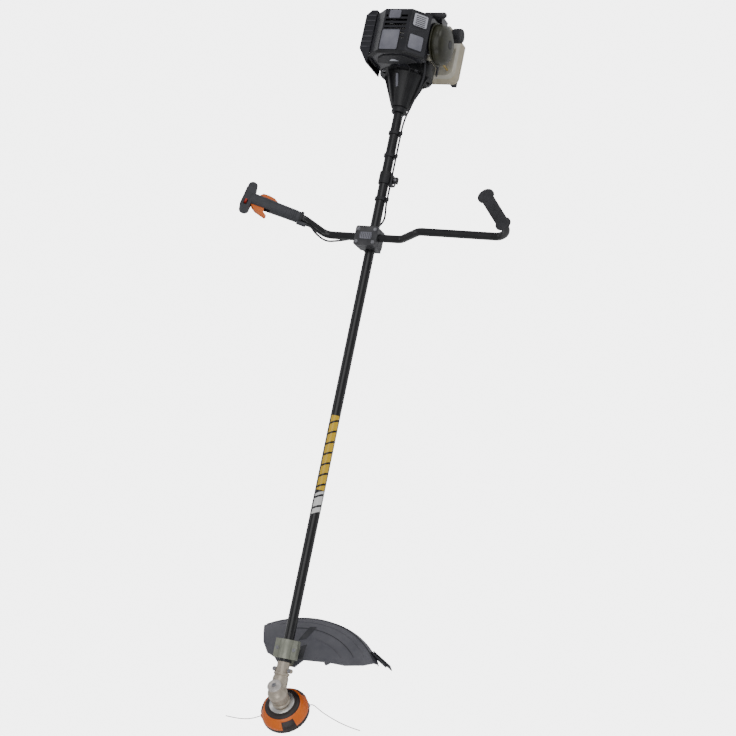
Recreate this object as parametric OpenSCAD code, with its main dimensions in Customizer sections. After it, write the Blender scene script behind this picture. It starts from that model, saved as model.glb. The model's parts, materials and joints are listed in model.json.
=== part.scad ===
// Two-stroke straight-shaft string trimmer with an asymmetric handlebar.
// X runs forward from the engine to the cutting head, Y to the operator's left, Z up.
// The origin is on the ground, under the cylinder, where the engine stand rests.

/* [Overall] */
// Height of the drive shaft's axis above the ground
axis_h = 140; // [134:1:170]
// Distance from the cylinder's axis to the apex of the gear head
reach = 1672; // [1390:1:2010]

/* [Shaft] */
// Outside diameter of the shaft tube
tube_d = 25.4; // [24:0.1:31]
// Wall of the shaft tube
tube_wall = 1.6; // [1.2:0.1:2.5]
// Diameter of the drive shaft
drive_d = 7; // [6:0.1:8]
// Number of bushings that carry the drive shaft
bushing_count = 5; // [3:1:8]
// Length of one bushing
bushing_len = 30; // [20:1:50]
// Length of tube held in the clutch housing
socket_len = 54; // [35:1:60]

/* [Handlebar] */
// Distance from the cylinder's axis to the handlebar
bar_x = 519; // [480:1:620]
// Height of the handlebar's axis above the shaft's axis
bar_rise = 28; // [28:1:36]
// Tilt of the handlebar's plane towards the operator
bar_tilt = 20; // [10:1:30]
// Outside diameter of the handlebar
bar_d = 20; // [16:0.5:22]
// Wall of the handlebar
bar_wall = 1.6; // [1.2:0.1:2.5]
// Distance from the shaft to the axis of the left grip
left_reach = 394; // [328:1:470]
// Length of the left grip
grip_len = 108; // [92:1:130]
// Diameter of the left grip
grip_d = 31; // [27:0.5:37]
// Distance from the shaft to the first bend on the throttle side
right_reach = 118; // [100:1:141]
// Width of the handlebar clamp across the shaft
clamp_w = 62; // [52:1:74]

/* [Harness clamp] */
// Distance from the cylinder's axis to the harness clamp
strap_x = 347; // [300:1:400]
// Diameter of the hole for the harness hook
eye_d = 15; // [12:0.5:18]
// Thickness of the eye plate
eye_t = 3; // [2:0.5:4]

/* [Engine] */
// Bore of the cylinder
bore_d = 34; // [30:0.5:38]
// Stroke of the piston
stroke = 28; // [24:1:30]
// Diameter of the fan housing
fan_d = 140; // [134:1:150]
// Diameter of the clutch drum
drum_d = 79; // [74:1:84]
// Width of the fuel tank on the left of the shaft
tank_left = 98; // [90:1:106]
// Width of the fuel tank on the right of the shaft
tank_right = 64; // [60:1:90]
// Height of the engine cover above the shaft's axis
cover_h = 148; // [146:1:165]
// Wall of the plastic covers
cover_wall = 2.5; // [2:0.1:3.5]

/* [Gear head] */
// Angle between the cutting head's axis and the shaft
head_angle = 60; // [56:1:64]
// Teeth on the bevel pinion
pinion_teeth = 14; // [12:1:15]
// Teeth on the driven bevel gear
gear_teeth = 19; // [18:1:22]
// Module of the bevel gears at their outer ends
gear_module = 1.75; // [1.6:0.05:1.8]

/* [Cutting head] */
// Diameter of the cutting head's skirt
head_d = 118; // [110:1:142]
// Diameter of the bump knob
knob_d = 46; // [38:1:56]
// Travel of the bump knob
knob_travel = 6; // [4:0.5:6]
// Diameter of the trimmer line
line_d = 2.4; // [2:0.1:3]

/* [Guard] */
// Radius of the guard's skirt
guard_r = 239; // [225:1:250]
// Offset of the skirt's centre towards the line cutter
guard_shift = 14; // [8:1:20]
// Wall of the guard
guard_wall = 3; // [2.5:0.1:4]

/* [Hidden] */
$fn = 64;

// Running and fitting clearances
run_gap = 0.06;
fit_gap = 0.05;

// Shaft
tube_r = tube_d / 2;
drive_r = drive_d / 2;
nose_x = 165;
tube_x0 = nose_x - socket_len;
tube_x1 = reach - 52;
socket_wall = 5.5;

// Handlebar: points are [distance to the left, height in the bar's plane]
bar_r = bar_d / 2;
bend_r = 34;
jog_h = 36;
grip_lean = 11.8;
grip_start = bend_r * tan(45 + grip_lean / 2) + 0.7;
left_end = grip_start + grip_len;
left_pts = [[6, 0], [92, 0], [150, jog_h], [left_reach, jog_h],
            [left_reach - left_end * sin(grip_lean), jog_h + left_end * cos(grip_lean)]];
throttle_lean = 62.5;
throttle_end = 74;
handle_len = 146;
right_pts = [[-6, 0], [-right_reach, 0], [-right_reach - 42, 57],
             [-right_reach - 42 - throttle_end * sin(throttle_lean), 57 + throttle_end * cos(throttle_lean)]];

// Engine, along the crankshaft
case_half = 28;
fan_r = fan_d / 2;
fan_x = 60;
fan_wall = 3.5;
web_r = 30;
pin_r = 6;
journal_r = 6;
drum_r = drum_d / 2;
drum_wall = 2;
bore_r = bore_d / 2;
barrel_r = bore_r + 5;
fin_w = 2 * (bore_r + 21);
starter_r = 64;
starter_x = -86;
starter_wall = 2.5;
rope_x = -74;
rope_y = 84;
rope_r = 1.75;
pulley_r = 31;
rope_z = pulley_r + rope_r + 0.25;
tank_top = -60;
tank_bottom = -118;
tank_x0 = -88;
tank_x1 = 26;
hose_x = 11;
tower_top = -4;
cap_z = -25;
cap_x = -70;
stand_x0 = -84;
stand_x1 = 24;
cover_x0 = -58;
cover_x1 = 64;
cover_left = 90;
filter_y = 92;
carb_x = 10;
carb_y = 76;

// Gear head
delta1 = atan2(sin(120), gear_teeth / pinion_teeth + cos(120));
delta2 = 120 - delta1;
cone_len = gear_module * pinion_teeth / 2 / sin(delta1);
tooth_face = 6;
tooth_top = 1.2;
tooth_root = 1.5;
tooth_halves = [0.38, 0.8];
pinion_start = 180 / pinion_teeth;
neck_r = tube_r + 2.6;

// Cutting head, heights along its own axis from the apex
flange_z = -37;
flange_t = 3.5;
head_r = head_d / 2;
housing_top = flange_z - flange_t;
head_depth = 41.5;
skirt_z = housing_top - 23.5;
skirt_bottom = housing_top - head_depth;
head_wall = 2.5;
spool_h = head_depth - head_wall - knob_travel - 5;
eyelet_z = skirt_z - 8;
eyelet_angle = 117;
line_r = line_d / 2;

// Guard, heights along the cutting head's axis from the apex
guard_rim = (guard_r * cos(head_angle) - axis_h) / sin(head_angle);
guard_top = 20;
guard_edge = tube_r + 55.3;
cutter_angle = 133.8;
cutter_flare = -16;
guard_flat = 130;
clamp_x = reach - 106;
clamp_half = 23;
case_boss_x = reach - 56;

// Throttle cable: points are [forward, left, height above the shaft's axis]
function throttle_point(x, y, z) =
    let (p = right_pts[2] + y * [cos(throttle_lean), sin(throttle_lean)]
             + z * [-sin(throttle_lean), cos(throttle_lean)])
    [bar_x + x * cos(bar_tilt) - p[1] * sin(bar_tilt), p[0],
     bar_rise + x * sin(bar_tilt) + p[1] * cos(bar_tilt)];
cable_r = 2.5;
cable_entry = 16.5;
cable_side = tube_r + 6.8;
cable_pts = [
    throttle_point(cable_entry, 0, -4), throttle_point(cable_entry, 0, -22), [526, -134, 62],
    [532, -126, 50],
    [536, -117, 39], [537, -106, 31],
    [534, -92, 26], [528, -76, 18], [519, -60, 6], [507, -44, -6], [494, -28, 4.5 - cable_side],
    [480, -10, -cable_side], [466, 6, 1 - cable_side], [452, 16, -11], [438, cable_side - 0.3, -3],
    [424, cable_side, 2],
    [405, cable_side, 3], [370, cable_side, 3], [330, cable_side, 3], [290, cable_side, 3],
    [250, cable_side, 3],
    [215, cable_side, 3], [195, cable_side + 1.5, 4], [175, 26, 7], [155, 34, 11], [135, 43, 17],
    [115, 53, 25],
    [98, 62, 34], [84, 69, 43], [72, 73, 52], [62, 75.5, 60], [52, 76, 66], [42, 76, 69],
    [34, 76, 70], [27.3, 76, 70]
];

// Trimmer lines: points in the cutting head's frame, [forward, left, height above the eyelet],
// for a head of radius 59, moved out with the eyelets of a larger one
function line_root(turn) =
    let (a = eyelet_angle + turn, out = head_r - 59)
    [out * cos(a), out * sin(a), eyelet_z];
line_right_pts = [
    [-25.6, 50.2, 0], [-30, 58.9, 0], [-29, 66, 0], [-25, 75, 0], [-20, 85, -0.1],
    [-15, 96, -0.3], [-10.5, 108, -0.6], [-6, 121, -1], [-2, 134, -1.4], [1.5, 147, -1.9],
    [4.5, 161, -2.5], [7, 175, -3.1], [8.8, 189, -3.6], [10, 203, -4]
];
line_left_pts = [
    [25.6, -50.2, 0], [30, -58.9, 0], [35, -66.5, 0], [39.5, -76, -0.1], [43, -87, -0.4],
    [45, -99, -0.8], [45.8, -111, -1.4], [45.8, -123, -2.1], [45.4, -134, -2.9], [44.8, -145.6, -3.8]
];

// ---- Placing helpers ----
module at_axis(x = 0) {
    translate([x, 0, axis_h]) children();
}
module along_x(x = 0, y = 0, z = 0) {
    translate([x, y, axis_h + z]) rotate([0, 90, 0]) children();
}
module along_y(x = 0, y = 0, z = 0) {
    translate([x, y, axis_h + z]) rotate([-90, 0, 0]) children();
}
module at_head() {
    translate([reach, 0, axis_h]) rotate([0, head_angle - 90, 0]) children();
}
module at_bar() {
    translate([bar_x, 0, axis_h + bar_rise]) rotate([0, -bar_tilt, 0]) children();
}
function bar_point(p) = [0, p[0], p[1]];
module at_throttle() {
    at_bar() translate(bar_point(right_pts[2])) rotate([throttle_lean, 0, 0]) children();
}
module box(x0, x1, y0, y1, z0, z1) {
    translate([x0, y0, z0]) cube([x1 - x0, y1 - y0, z1 - z0]);
}
module ring(r_out, r_in, h) {
    difference() {
        cylinder(r = r_out, h = h);
        translate([0, 0, -1]) cylinder(r = r_in, h = h + 2);
    }
}
module round_rect(x0, x1, y0, y1, r) {
    translate([x0 + r, y0]) square([x1 - x0 - 2 * r, y1 - y0]);
    translate([x0, y0 + r]) square([x1 - x0, y1 - y0 - 2 * r]);
    for (x = [x0 + r, x1 - r], y = [y0 + r, y1 - r]) translate([x, y]) circle(r = r);
}

// ---- Bent tubes and cords: one swept skin ----
function unit(v) = v / norm(v);
function turn_at(p, i) = acos(unit(p[i] - p[i - 1]) * unit(p[i + 1] - p[i]));
function elbow(p, i, bend, steps) =
    let (u = unit(p[i] - p[i - 1]), v = unit(p[i + 1] - p[i]), n = unit(v - u * (u * v)),
         turn = turn_at(p, i), c = p[i] - u * bend * tan(turn / 2) + n * bend)
    [for (k = [0 : steps]) c + bend * (u * sin(turn * k / steps) - n * cos(turn * k / steps))];
function bent_path(p, bend, steps = 8) = [
    for (i = [0 : len(p) - 1])
        each (i == 0 || i == len(p) - 1 ? [p[i]] : elbow(p, i, bend, steps))
];
function stretch(p, extra) = let (n = len(p) - 1) [
    for (i = [0 : n])
        i == 0 ? p[0] - unit(p[1] - p[0]) * extra
        : i == n ? p[n] + unit(p[n] - p[n - 1]) * extra
        : p[i]
];
function tangent(p, i) = unit(p[min(i + 1, len(p) - 1)] - p[max(i - 1, 0)]);
function skin_ring(c, t, r, sides, ref) =
    let (s = unit(cross(t, ref)), q = cross(s, t))
    [for (k = [0 : sides - 1]) c + r * (cos(360 * k / sides) * s + sin(360 * k / sides) * q)];
module sweep(p, r, sides, ref = [0, 0, 1]) {
    n = len(p);
    pts = [for (i = [0 : n - 1]) each skin_ring(p[i], tangent(p, i), r, sides, ref)];
    walls = [
        for (i = [0 : n - 2], k = [0 : sides - 1])
            let (a = i * sides + k, b = i * sides + (k + 1) % sides)
            [a, b, b + sides, a + sides]
    ];
    start_cap = [for (k = [sides - 1 : -1 : 0]) k];
    end_cap = [for (k = [0 : sides - 1]) (n - 1) * sides + k];
    polyhedron(pts, concat(walls, [start_cap, end_cap]));
}
module rod(a, b, r) {
    d = b - a;
    translate(a) rotate([0, acos(d[2] / norm(d)), atan2(d[1], d[0])]) cylinder(r = r, h = norm(d));
}
module bar_tube(p) {
    route = bent_path(p, bend_r);
    difference() {
        sweep(route, bar_r, 28, [1, 0, 0]);
        sweep(stretch(route, 3), bar_r - bar_wall, 28, [1, 0, 0]);
    }
}

// ---- Screws: one size, with a socket head ----
screw_r = 2.5;
screw_head_r = 4.25;
screw_head_h = 5;
screw_len = 12;
module screw() {
    difference() {
        union() {
            cylinder(r = screw_head_r, h = screw_head_h);
            translate([0, 0, -screw_len]) cylinder(r = screw_r, h = screw_len);
        }
        translate([0, 0, screw_head_h - 2.5]) cylinder(r = 2.3, h = 3, $fn = 6);
    }
}
module screw_hole() {
    translate([0, 0, -screw_len - 0.5]) cylinder(r = screw_r + 0.1, h = screw_len + 1);
}
bar_screw_x = 17;
bar_screw_y = clamp_w / 2 - 8;
cap_top = bar_r + 6;
strap_ear_y = tube_r + 12;
strap_ear_top = -6.5;
housing_screw_r = fan_r - 5;
clamp_ear_y = tube_r + 10;
case_boss_y = tube_r + 7;
module screw_places(set) {
    if (set == "bar")
        for (x = [-bar_screw_x, bar_screw_x], y = [-bar_screw_y, bar_screw_y])
            translate([bar_x + x, y, axis_h + bar_rise + cap_top]) children();
    if (set == "strap") translate([strap_x, strap_ear_y, axis_h + strap_ear_top]) children();
    if (set == "guard")
        for (y = [-1, 1]) translate([clamp_x, y * clamp_ear_y, axis_h + 8]) children();
    if (set == "housing")
        for (a = [45 : 90 : 315])
            along_x(fan_x + 4) rotate([0, 0, a]) translate([housing_screw_r, 0, 0]) children();
    if (set == "gear_case")
        for (y = [-1, 1]) translate([case_boss_x, y * case_boss_y, axis_h + 5]) children();
}

// ---- Shaft ----
module shaft_tube() {
    color("#141416") along_x(tube_x0) ring(tube_r, tube_r - tube_wall, tube_x1 - tube_x0);
}
module shaft_bushings() {
    span = tube_x1 - tube_x0 - bushing_len - 60;
    color("#b98a4a") for (i = [0 : bushing_count - 1])
        along_x(tube_x0 + 30 + span * i / (bushing_count - 1))
            ring(tube_r - tube_wall - fit_gap, drive_r + run_gap, bushing_len);
}
module clutch_housing() {
    nose_r = tube_r + socket_wall;
    cone_end = nose_x - 14;
    color("#1d1d20") difference() {
        union() {
            along_x(fan_x) cylinder(r = fan_r, h = 4);
            along_x(fan_x + 4) cylinder(r1 = 49, r2 = nose_r + 5, h = cone_end - fan_x - 4);
            along_x(cone_end) cylinder(r = nose_r, h = nose_x - cone_end);
            for (a = [30 : 60 : 330])
                along_x(fan_x + 4) rotate([0, 0, a]) rotate([90, 0, 0])
                    translate([0, 0, -2]) linear_extrude(4)
                        polygon([[30, 0], [fan_r - 8, 0], [nose_r + 7, cone_end - fan_x - 8], [12, 80]]);
        }
        along_x(fan_x - 1) cylinder(r = drum_r + 4.5, h = 11);
        along_x(fan_x) cylinder(r = 9, h = 60);
        along_x(80) cylinder(r = 13, h = 21);
        along_x(tube_x0) cylinder(r = tube_r + fit_gap, h = socket_len + 1);
        for (a = [0 : 60 : 300])
            along_x(fan_x - 1) rotate([0, 0, a]) translate([fan_r - 12, 0, 0]) cylinder(r = 5, h = 6);
        screw_places("housing") screw_hole();
    }
}
module fan_case() {
    depth = fan_x - case_half;
    color("#1d1d20") difference() {
        union() {
            along_x(case_half) rotate_extrude()
                polygon([[20, 0], [fan_r, 0], [fan_r, depth], [fan_r - fan_wall, depth],
                         [fan_r - fan_wall, 3], [20, 3]]);
            for (a = [45 : 90 : 315])
                along_x(case_half + 1) rotate([0, 0, a]) translate([housing_screw_r, 0, 0])
                    cylinder(r = 4.6, h = depth - 1.5);
        }
        at_axis() box(case_half + 4, fan_x - 6, -25, 25, 50, fan_r + 5);
        along_x(fan_x - screw_len - 1) for (a = [45 : 90 : 315])
            rotate([0, 0, a]) translate([housing_screw_r, 0, 0])
                cylinder(r = screw_r + 0.1, h = screw_len + 2);
    }
}

// ---- Engine ----
module crankcase() {
    color("#9a9a98") difference() {
        union() {
            along_x(-case_half) cylinder(r = 40, h = 2 * case_half);
            along_x(-case_half - 3) cylinder(r = starter_r - 0.5, h = 3);
            at_axis() box(-case_half, case_half, -30, 30, 0, 42);
        }
        along_x(-case_half + 10) cylinder(r = web_r + 1, h = 2 * case_half - 20);
        along_x(case_half - 10.1) cylinder(r = 14, h = 8.1);
        along_x(case_half - 3) cylinder(r = 9, h = 4);
        along_x(-case_half + 2) cylinder(r = 14, h = 8.1);
        along_x(-case_half - 4) cylinder(r = 9, h = 7);
        translate([0, 0, axis_h + 20]) cylinder(r = bore_r + 2, h = 23);
    }
}
module cylinder_port(y0, y1, w) {
    at_axis() box(-w, w, min(y0, y1), max(y0, y1), 56, 76);
}
module cylinder_node() {
    color("#a7a7a4") difference() {
        union() {
            at_axis() box(-case_half, case_half, -30, 30, 42, 47);
            translate([0, 0, axis_h + 30]) cylinder(r = bore_r + 1.8, h = 13);
            translate([0, 0, axis_h + 46]) cylinder(r = barrel_r, h = 58);
            for (i = [0 : 7]) {
                z = 52 + 7 * i;
                half_x = z < fan_r + 2 ? case_half - 1 : fin_w / 2;
                at_axis() box(-half_x, half_x, -fin_w / 2, fin_w / 2, z, z + 2);
            }
            cylinder_port(-44, -barrel_r + 3, 14);
            cylinder_port(barrel_r - 3, 44, 12);
        }
        translate([0, 0, axis_h + 29]) cylinder(r = bore_r, h = 58);
        translate([0, 0, axis_h + 86]) cylinder(r = 5.1, h = 20);
        along_y(0, -46, 66) cylinder(r = 7, h = 30);
        along_y(0, 16, 66) cylinder(r = 7, h = 30);
    }
}
module spark_plug() {
    color("#d8d4c8") translate([0, 0, axis_h]) {
        translate([0, 0, 90]) cylinder(r = 5, h = 15);
        translate([0, 0, 104]) cylinder(r = 9.2, h = 9, $fn = 6);
        translate([0, 0, 112.9]) cylinder(r = 5, h = 17);
    }
}
module ignition_coil() {
    color("#1a1a1c") {
        difference() {
            at_axis() union() {
                box(41, 51, -23, 23, 72, 90);
                box(42, 50, -22, -12, 60, 73);
                box(42, 50, 12, 22, 60, 73);
            }
            along_x(40) cylinder(r = fan_r - 9.8, h = 14);
        }
        at_axis() sweep(bent_path([[46, 0, 89], [46, 0, 132], [7, 0, 132]], 12), 3, 12, [0, 1, 0]);
        difference() {
            translate([0, 0, axis_h + 118]) cylinder(r = 8, h = 22);
            translate([0, 0, axis_h + 110]) cylinder(r = 5.1, h = 22);
        }
    }
}
module muffler() {
    color("#77777a") difference() {
        at_axis() box(-40, 27, -82, -44, 48, 106);
        at_axis() box(-38, 25, -80, -46, 50, 104);
        along_y(0, -47, 66) cylinder(r = 7, h = 5);
        along_x(24, -71, 60) cylinder(r = 6, h = 4);
    }
}
// The muffler cover's outline seen from above, [forward, left], inset by w
muffler_out = 92;
function muffler_plan(w, open_y) = [
    [-70 + w, open_y], [-70 + w, 14 - muffler_out + 0.41 * w], [-56 + 0.41 * w, w - muffler_out],
    [38 - 0.32 * w, w - muffler_out], [78 - w, -66 + 0.52 * w], [78 - w, open_y]
];
module muffler_cover() {
    color("#1b1b1e") difference() {
        at_axis() translate([0, 0, 30]) linear_extrude(88) polygon(muffler_plan(0, -62));
        at_axis() translate([0, 0, 30 + cover_wall]) linear_extrude(88 - 2 * cover_wall)
            polygon(muffler_plan(cover_wall, -61));
        along_x(-90) cylinder(r = fan_r + 1, h = 180);
        for (i = [0 : 5])
            at_axis() box(-52 + 15 * i, -46 + 15 * i, -muffler_out - 1, 4 - muffler_out, 44, 104);
    }
}
// The cover's outline across the shaft, [left, height above the shaft's axis], inset by w
function cover_outline(w) = [
    [-62 + w, 39], [-62 + w, cover_h - 32], [-24, cover_h - w], [50, cover_h - w],
    [cover_left - w, cover_h - 38 - 0.4 * w], [cover_left - w, 39]
];
module cover_form(w) {
    translate([cover_x0 + w, 0, axis_h]) rotate([90, 0, 90])
        linear_extrude(cover_x1 - cover_x0 - 2 * w) polygon(cover_outline(w));
}
module engine_cover() {
    color("#17171a") difference() {
        cover_form(0);
        cover_form(cover_wall);
        at_axis() box(cover_x0 + cover_wall, cover_x1 - cover_wall, cover_wall - 62,
                      cover_left - cover_wall, 38, 42);
        along_x(-90) cylinder(r = fan_r + 0.6, h = 180);
        at_axis() box(-42, 42, -63, -50, 45, 108);
        at_axis() box(-24, 30, cover_left - 12, cover_left + 1, 34, 86);
        at_axis() box(14, 70, 34, cover_left + 1, 39, 92);
        for (i = [0 : 5]) at_axis() box(-42 + 12 * i, -36 + 12 * i, -20, 40, cover_h - 8, cover_h + 1);
    }
}
module carburettor() {
    color("#8d8d8f") difference() {
        at_axis() union() {
            box(-13, 13, 44, 62, 54, 78);
            box(-16, 20, 62, 88, 40, 69);
            box(-20, 29, 88, filter_y, 38, 82);
            box(19, 27, 64, 88, 60, 64);
            box(24, 27, 64, 88, 60, 78);
            translate([18, 78, 48]) rotate([0, 90, 0]) cylinder(r = 12, h = 5);
        }
        along_x(13, 78, 48) cylinder(r = 9.4, h = 12);
        along_y(0, 43, 66) cylinder(r = 7, h = 60);
        translate([carb_x, carb_y, axis_h + 58]) cylinder(r = 2 + run_gap, h = 20);
        along_x(20, carb_y, 70) cylinder(r = 1, h = 10);
    }
}
module filter_base() {
    color("#1b1b1d") difference() {
        along_y(0, filter_y, 0) linear_extrude(4) round_rect(-57, 47, -107, 1, 44);
        along_y(0, filter_y - 1, 66) cylinder(r = 8, h = 6);
    }
}
module filter_foam() {
    color("#5c5648") along_y(-5, filter_y + 4, 53) cylinder(r = 44, h = 20);
}
module filter_cover() {
    color("#17171a") difference() {
        along_y(0, filter_y + 4, 0) linear_extrude(34) round_rect(-57, 47, -107, 1, 44);
        along_y(0, filter_y + 3, 0) linear_extrude(35 - cover_wall)
            round_rect(-57 + cover_wall, 47 - cover_wall, -107 + cover_wall, 1 - cover_wall, 44 - cover_wall);
    }
}

// ---- Fuel system ----
module tank_form(inset) {
    difference() {
        union() {
            at_axis() translate([0, 0, tank_bottom + inset])
                linear_extrude(tank_top - tank_bottom - 2 * inset)
                    round_rect(tank_x0 + inset, tank_x1 - inset, -tank_right + inset,
                               tank_left - inset, 18 - inset);
            at_axis() translate([0, 0, tank_bottom + inset])
                linear_extrude(tower_top - tank_bottom - 2 * inset)
                    round_rect(tank_x0 + inset, tank_x0 + 40 - inset, 66 + inset,
                               tank_left - inset, 8);
        }
        along_x(-100) cylinder(r = fan_r + 3 + inset, h = 200);
    }
}
module fuel_tank() {
    neck_z = cap_z;
    color("#e9e4d6") difference() {
        union() {
            tank_form(0);
            along_y(cap_x, tank_left - 1, neck_z) cylinder(r = 13, h = 7);
        }
        tank_form(2.5);
        along_y(cap_x, tank_left - 5, neck_z) cylinder(r = 10.5, h = 20);
        translate([hose_x, 84, axis_h + tank_top - 4]) cylinder(r = 3, h = 6);
    }
}
module fuel_hose() {
    route = [[hose_x, 84, tank_top - 2], [hose_x, 84, 2], [8, 78, 26], [8, 78, 40]];
    color("#c9b26a") at_axis() sweep(bent_path(route, 10), 2.9, 12, [1, 0, 0]);
}
module fuel_cap() {
    color("#161618") difference() {
        along_y(cap_x, tank_left + 1, cap_z) cylinder(r = 19, h = 25);
        along_y(cap_x, tank_left, cap_z) cylinder(r = 13.4, h = 10);
        for (a = [0 : 30 : 330])
            along_y(cap_x, tank_left + 5, cap_z) rotate([0, 0, a]) translate([20.2, 0, 0])
                cylinder(r = 2.2, h = 25);
    }
}
module tank_stand() {
    plate_z = tank_bottom + axis_h;
    color("#1a1a1c") difference() {
        union() {
            box(stand_x0, stand_x1, -tank_right + 4, tank_left - 12, plate_z - 3, plate_z);
            for (y = [-tank_right + 4, tank_left - 26]) {
                box(stand_x0, stand_x1, y, y + 14, plate_z - 8, plate_z - 3);
                for (x = [stand_x0, stand_x1 - 26]) box(x, x + 26, y, y + 14, 0, plate_z - 3);
            }
            box(-12, 12, -tank_right + 4, tank_left - 12, 0, plate_z - 3);
        }
        box(-64, -22, -38, 60, plate_z - 5, plate_z + 1);
    }
}

// ---- Recoil starter ----
module starter_housing() {
    color("#17171a") difference() {
        union() {
            along_x(starter_x) cylinder(r = starter_r, h = -case_half - 3 - starter_x);
            at_axis() box(rope_x - 9.5, rope_x + 9.5, 50, rope_y + 12, 20, 60);
        }
        along_x(starter_x + starter_wall) cylinder(r = starter_r - starter_wall, h = 60);
        for (a = [0 : 30 : 330], k = [0 : 1])
            along_x(starter_x - 1) rotate([0, 0, a]) translate([26 + 18 * k, 0, 0])
                cylinder(r = 4, h = 4);
        along_y(rope_x, 40, rope_z) cylinder(r = 3, h = rope_y - 40);
        translate([rope_x, rope_y, axis_h + rope_z - 3]) cylinder(r = 3, h = 40);
    }
    color("#17171a") along_x(starter_x + starter_wall - 0.5) cylinder(r = 5, h = 33);
}
module starter_pulley() {
    color("#d9d6cc") difference() {
        union() {
            along_x(rope_x - 6) cylinder(r = pulley_r + 5, h = 2);
            along_x(rope_x + 4) cylinder(r = pulley_r + 5, h = 2);
            along_x(rope_x - 6) cylinder(r = pulley_r, h = 12);
            along_x(rope_x - 6) cylinder(r = 12, h = 15);
        }
        along_x(rope_x - 20) cylinder(r = 5 + run_gap, h = 40);
    }
}
module starter_rope() {
    color("#e5e2da") {
        translate([rope_x, rope_y, axis_h + rope_z]) cylinder(r = rope_r, h = 61 - rope_z);
        translate([rope_x, rope_y, axis_h + rope_z]) sphere(r = rope_r, $fn = 24);
        along_y(rope_x, 2, rope_z) cylinder(r = rope_r, h = rope_y - 2);
    }
}
module starter_handle() {
    color("#161618") at_axis() {
        translate([rope_x, rope_y, 61]) cylinder(r1 = 6, r2 = 8, h = 16);
        translate([rope_x, rope_y - 23, 81]) rotate([-90, 0, 0]) cylinder(r = 8, h = 46);
        for (y = [-23, 23]) translate([rope_x, rope_y + y, 81]) sphere(r = 8, $fn = 32);
    }
}

// ---- Bearings: ball races drawn as closed rings ----
module bearings() {
    color("#c4c7cb") {
        along_x(case_half - 10) ring(14 - fit_gap, journal_r + run_gap, 8);
        along_x(-case_half + 2) ring(14 - fit_gap, journal_r + run_gap, 8);
        along_x(81) ring(13 - fit_gap, 5 + run_gap, 8);
        along_x(92) ring(13 - fit_gap, 5 + run_gap, 8);
        along_x(reach - 36) ring(12 - fit_gap, 4.5 + run_gap, 7);
        along_x(reach - 45) ring(12 - fit_gap, 4.5 + run_gap, 7);
        at_head() translate([0, 0, -33]) ring(14 - fit_gap, 6 + run_gap, 14);
    }
}

// ---- Crank train ----
module crankshaft() {
    color("#8f9296") {
        along_x(7) cylinder(r = web_r, h = 10);
        along_x(-17) cylinder(r = web_r, h = 10);
        along_x(16.9) cylinder(r = journal_r, h = 43);
        along_x(-40) cylinder(r = journal_r, h = 23.1);
    }
}
module connecting_rod() {
    pin_z = stroke / 2;
    wrist_z = pin_z + 50;
    color("#7f8286") difference() {
        at_axis() union() {
            translate([-5, 0, pin_z]) rotate([0, 90, 0]) cylinder(r = 10, h = 10);
            translate([-4, 0, wrist_z]) rotate([0, 90, 0]) cylinder(r = 7, h = 8);
            box(-3, 3, -4, 4, pin_z + 6, wrist_z - 4);
            translate([-6.6, 0, pin_z]) rotate([0, 90, 0]) cylinder(r = pin_r, h = 13.2);
        }
        along_x(-8, 0, wrist_z) cylinder(r = 4 + run_gap, h = 16);
    }
}
module piston() {
    wrist_z = stroke / 2 + 50;
    color("#b9bbbd") difference() {
        union() {
            difference() {
                translate([0, 0, axis_h + wrist_z - 5.5]) cylinder(r = bore_r - run_gap, h = 22.5);
                translate([0, 0, axis_h + wrist_z - 6.5]) cylinder(r = bore_r - 3, h = 17.5);
            }
            at_axis() translate([-bore_r + 1, 0, wrist_z]) rotate([0, 90, 0])
                cylinder(r = 4, h = 2 * bore_r - 2);
        }
        for (z = [7, 11]) translate([0, 0, axis_h + wrist_z + z])
            difference() {
                cylinder(r = bore_r + 1, h = 1.5);
                translate([0, 0, -1]) cylinder(r = bore_r - 1.5, h = 4);
            }
    }
}
module flywheel() {
    wheel_r = fan_r - 10.5;
    color("#a9abac") difference() {
        union() {
            along_x(33) cylinder(r = 14, h = 13);
            along_x(34) cylinder(r = wheel_r, h = 4);
            along_x(34) ring(wheel_r, wheel_r - 5, 16);
            for (a = [0 : 22.5 : 337.5])
                along_x(37) rotate([0, 0, a]) translate([drum_r + 4, -1, 0])
                    cube([wheel_r - drum_r - 6, 2, 18]);
        }
        along_x(30) cylinder(r = journal_r + fit_gap, h = 30);
        for (a = [0 : 60 : 300])
            along_x(30) rotate([0, 0, a]) translate([30, 0, 0]) cylinder(r = 8, h = 10);
    }
}
module clutch_shoes() {
    shoe_r = drum_r - drum_wall - 1;
    color("#6d6f72") {
        along_x(48) ring(11, journal_r + fit_gap, 10);
        along_x(50) ring(17, journal_r + fit_gap, 6);
        for (a = [0, 180]) along_x(49) rotate([0, 0, a + 8]) rotate_extrude(angle = 164)
            translate([17.4, 0]) square([shoe_r - 17.4, 10]);
    }
}

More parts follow.
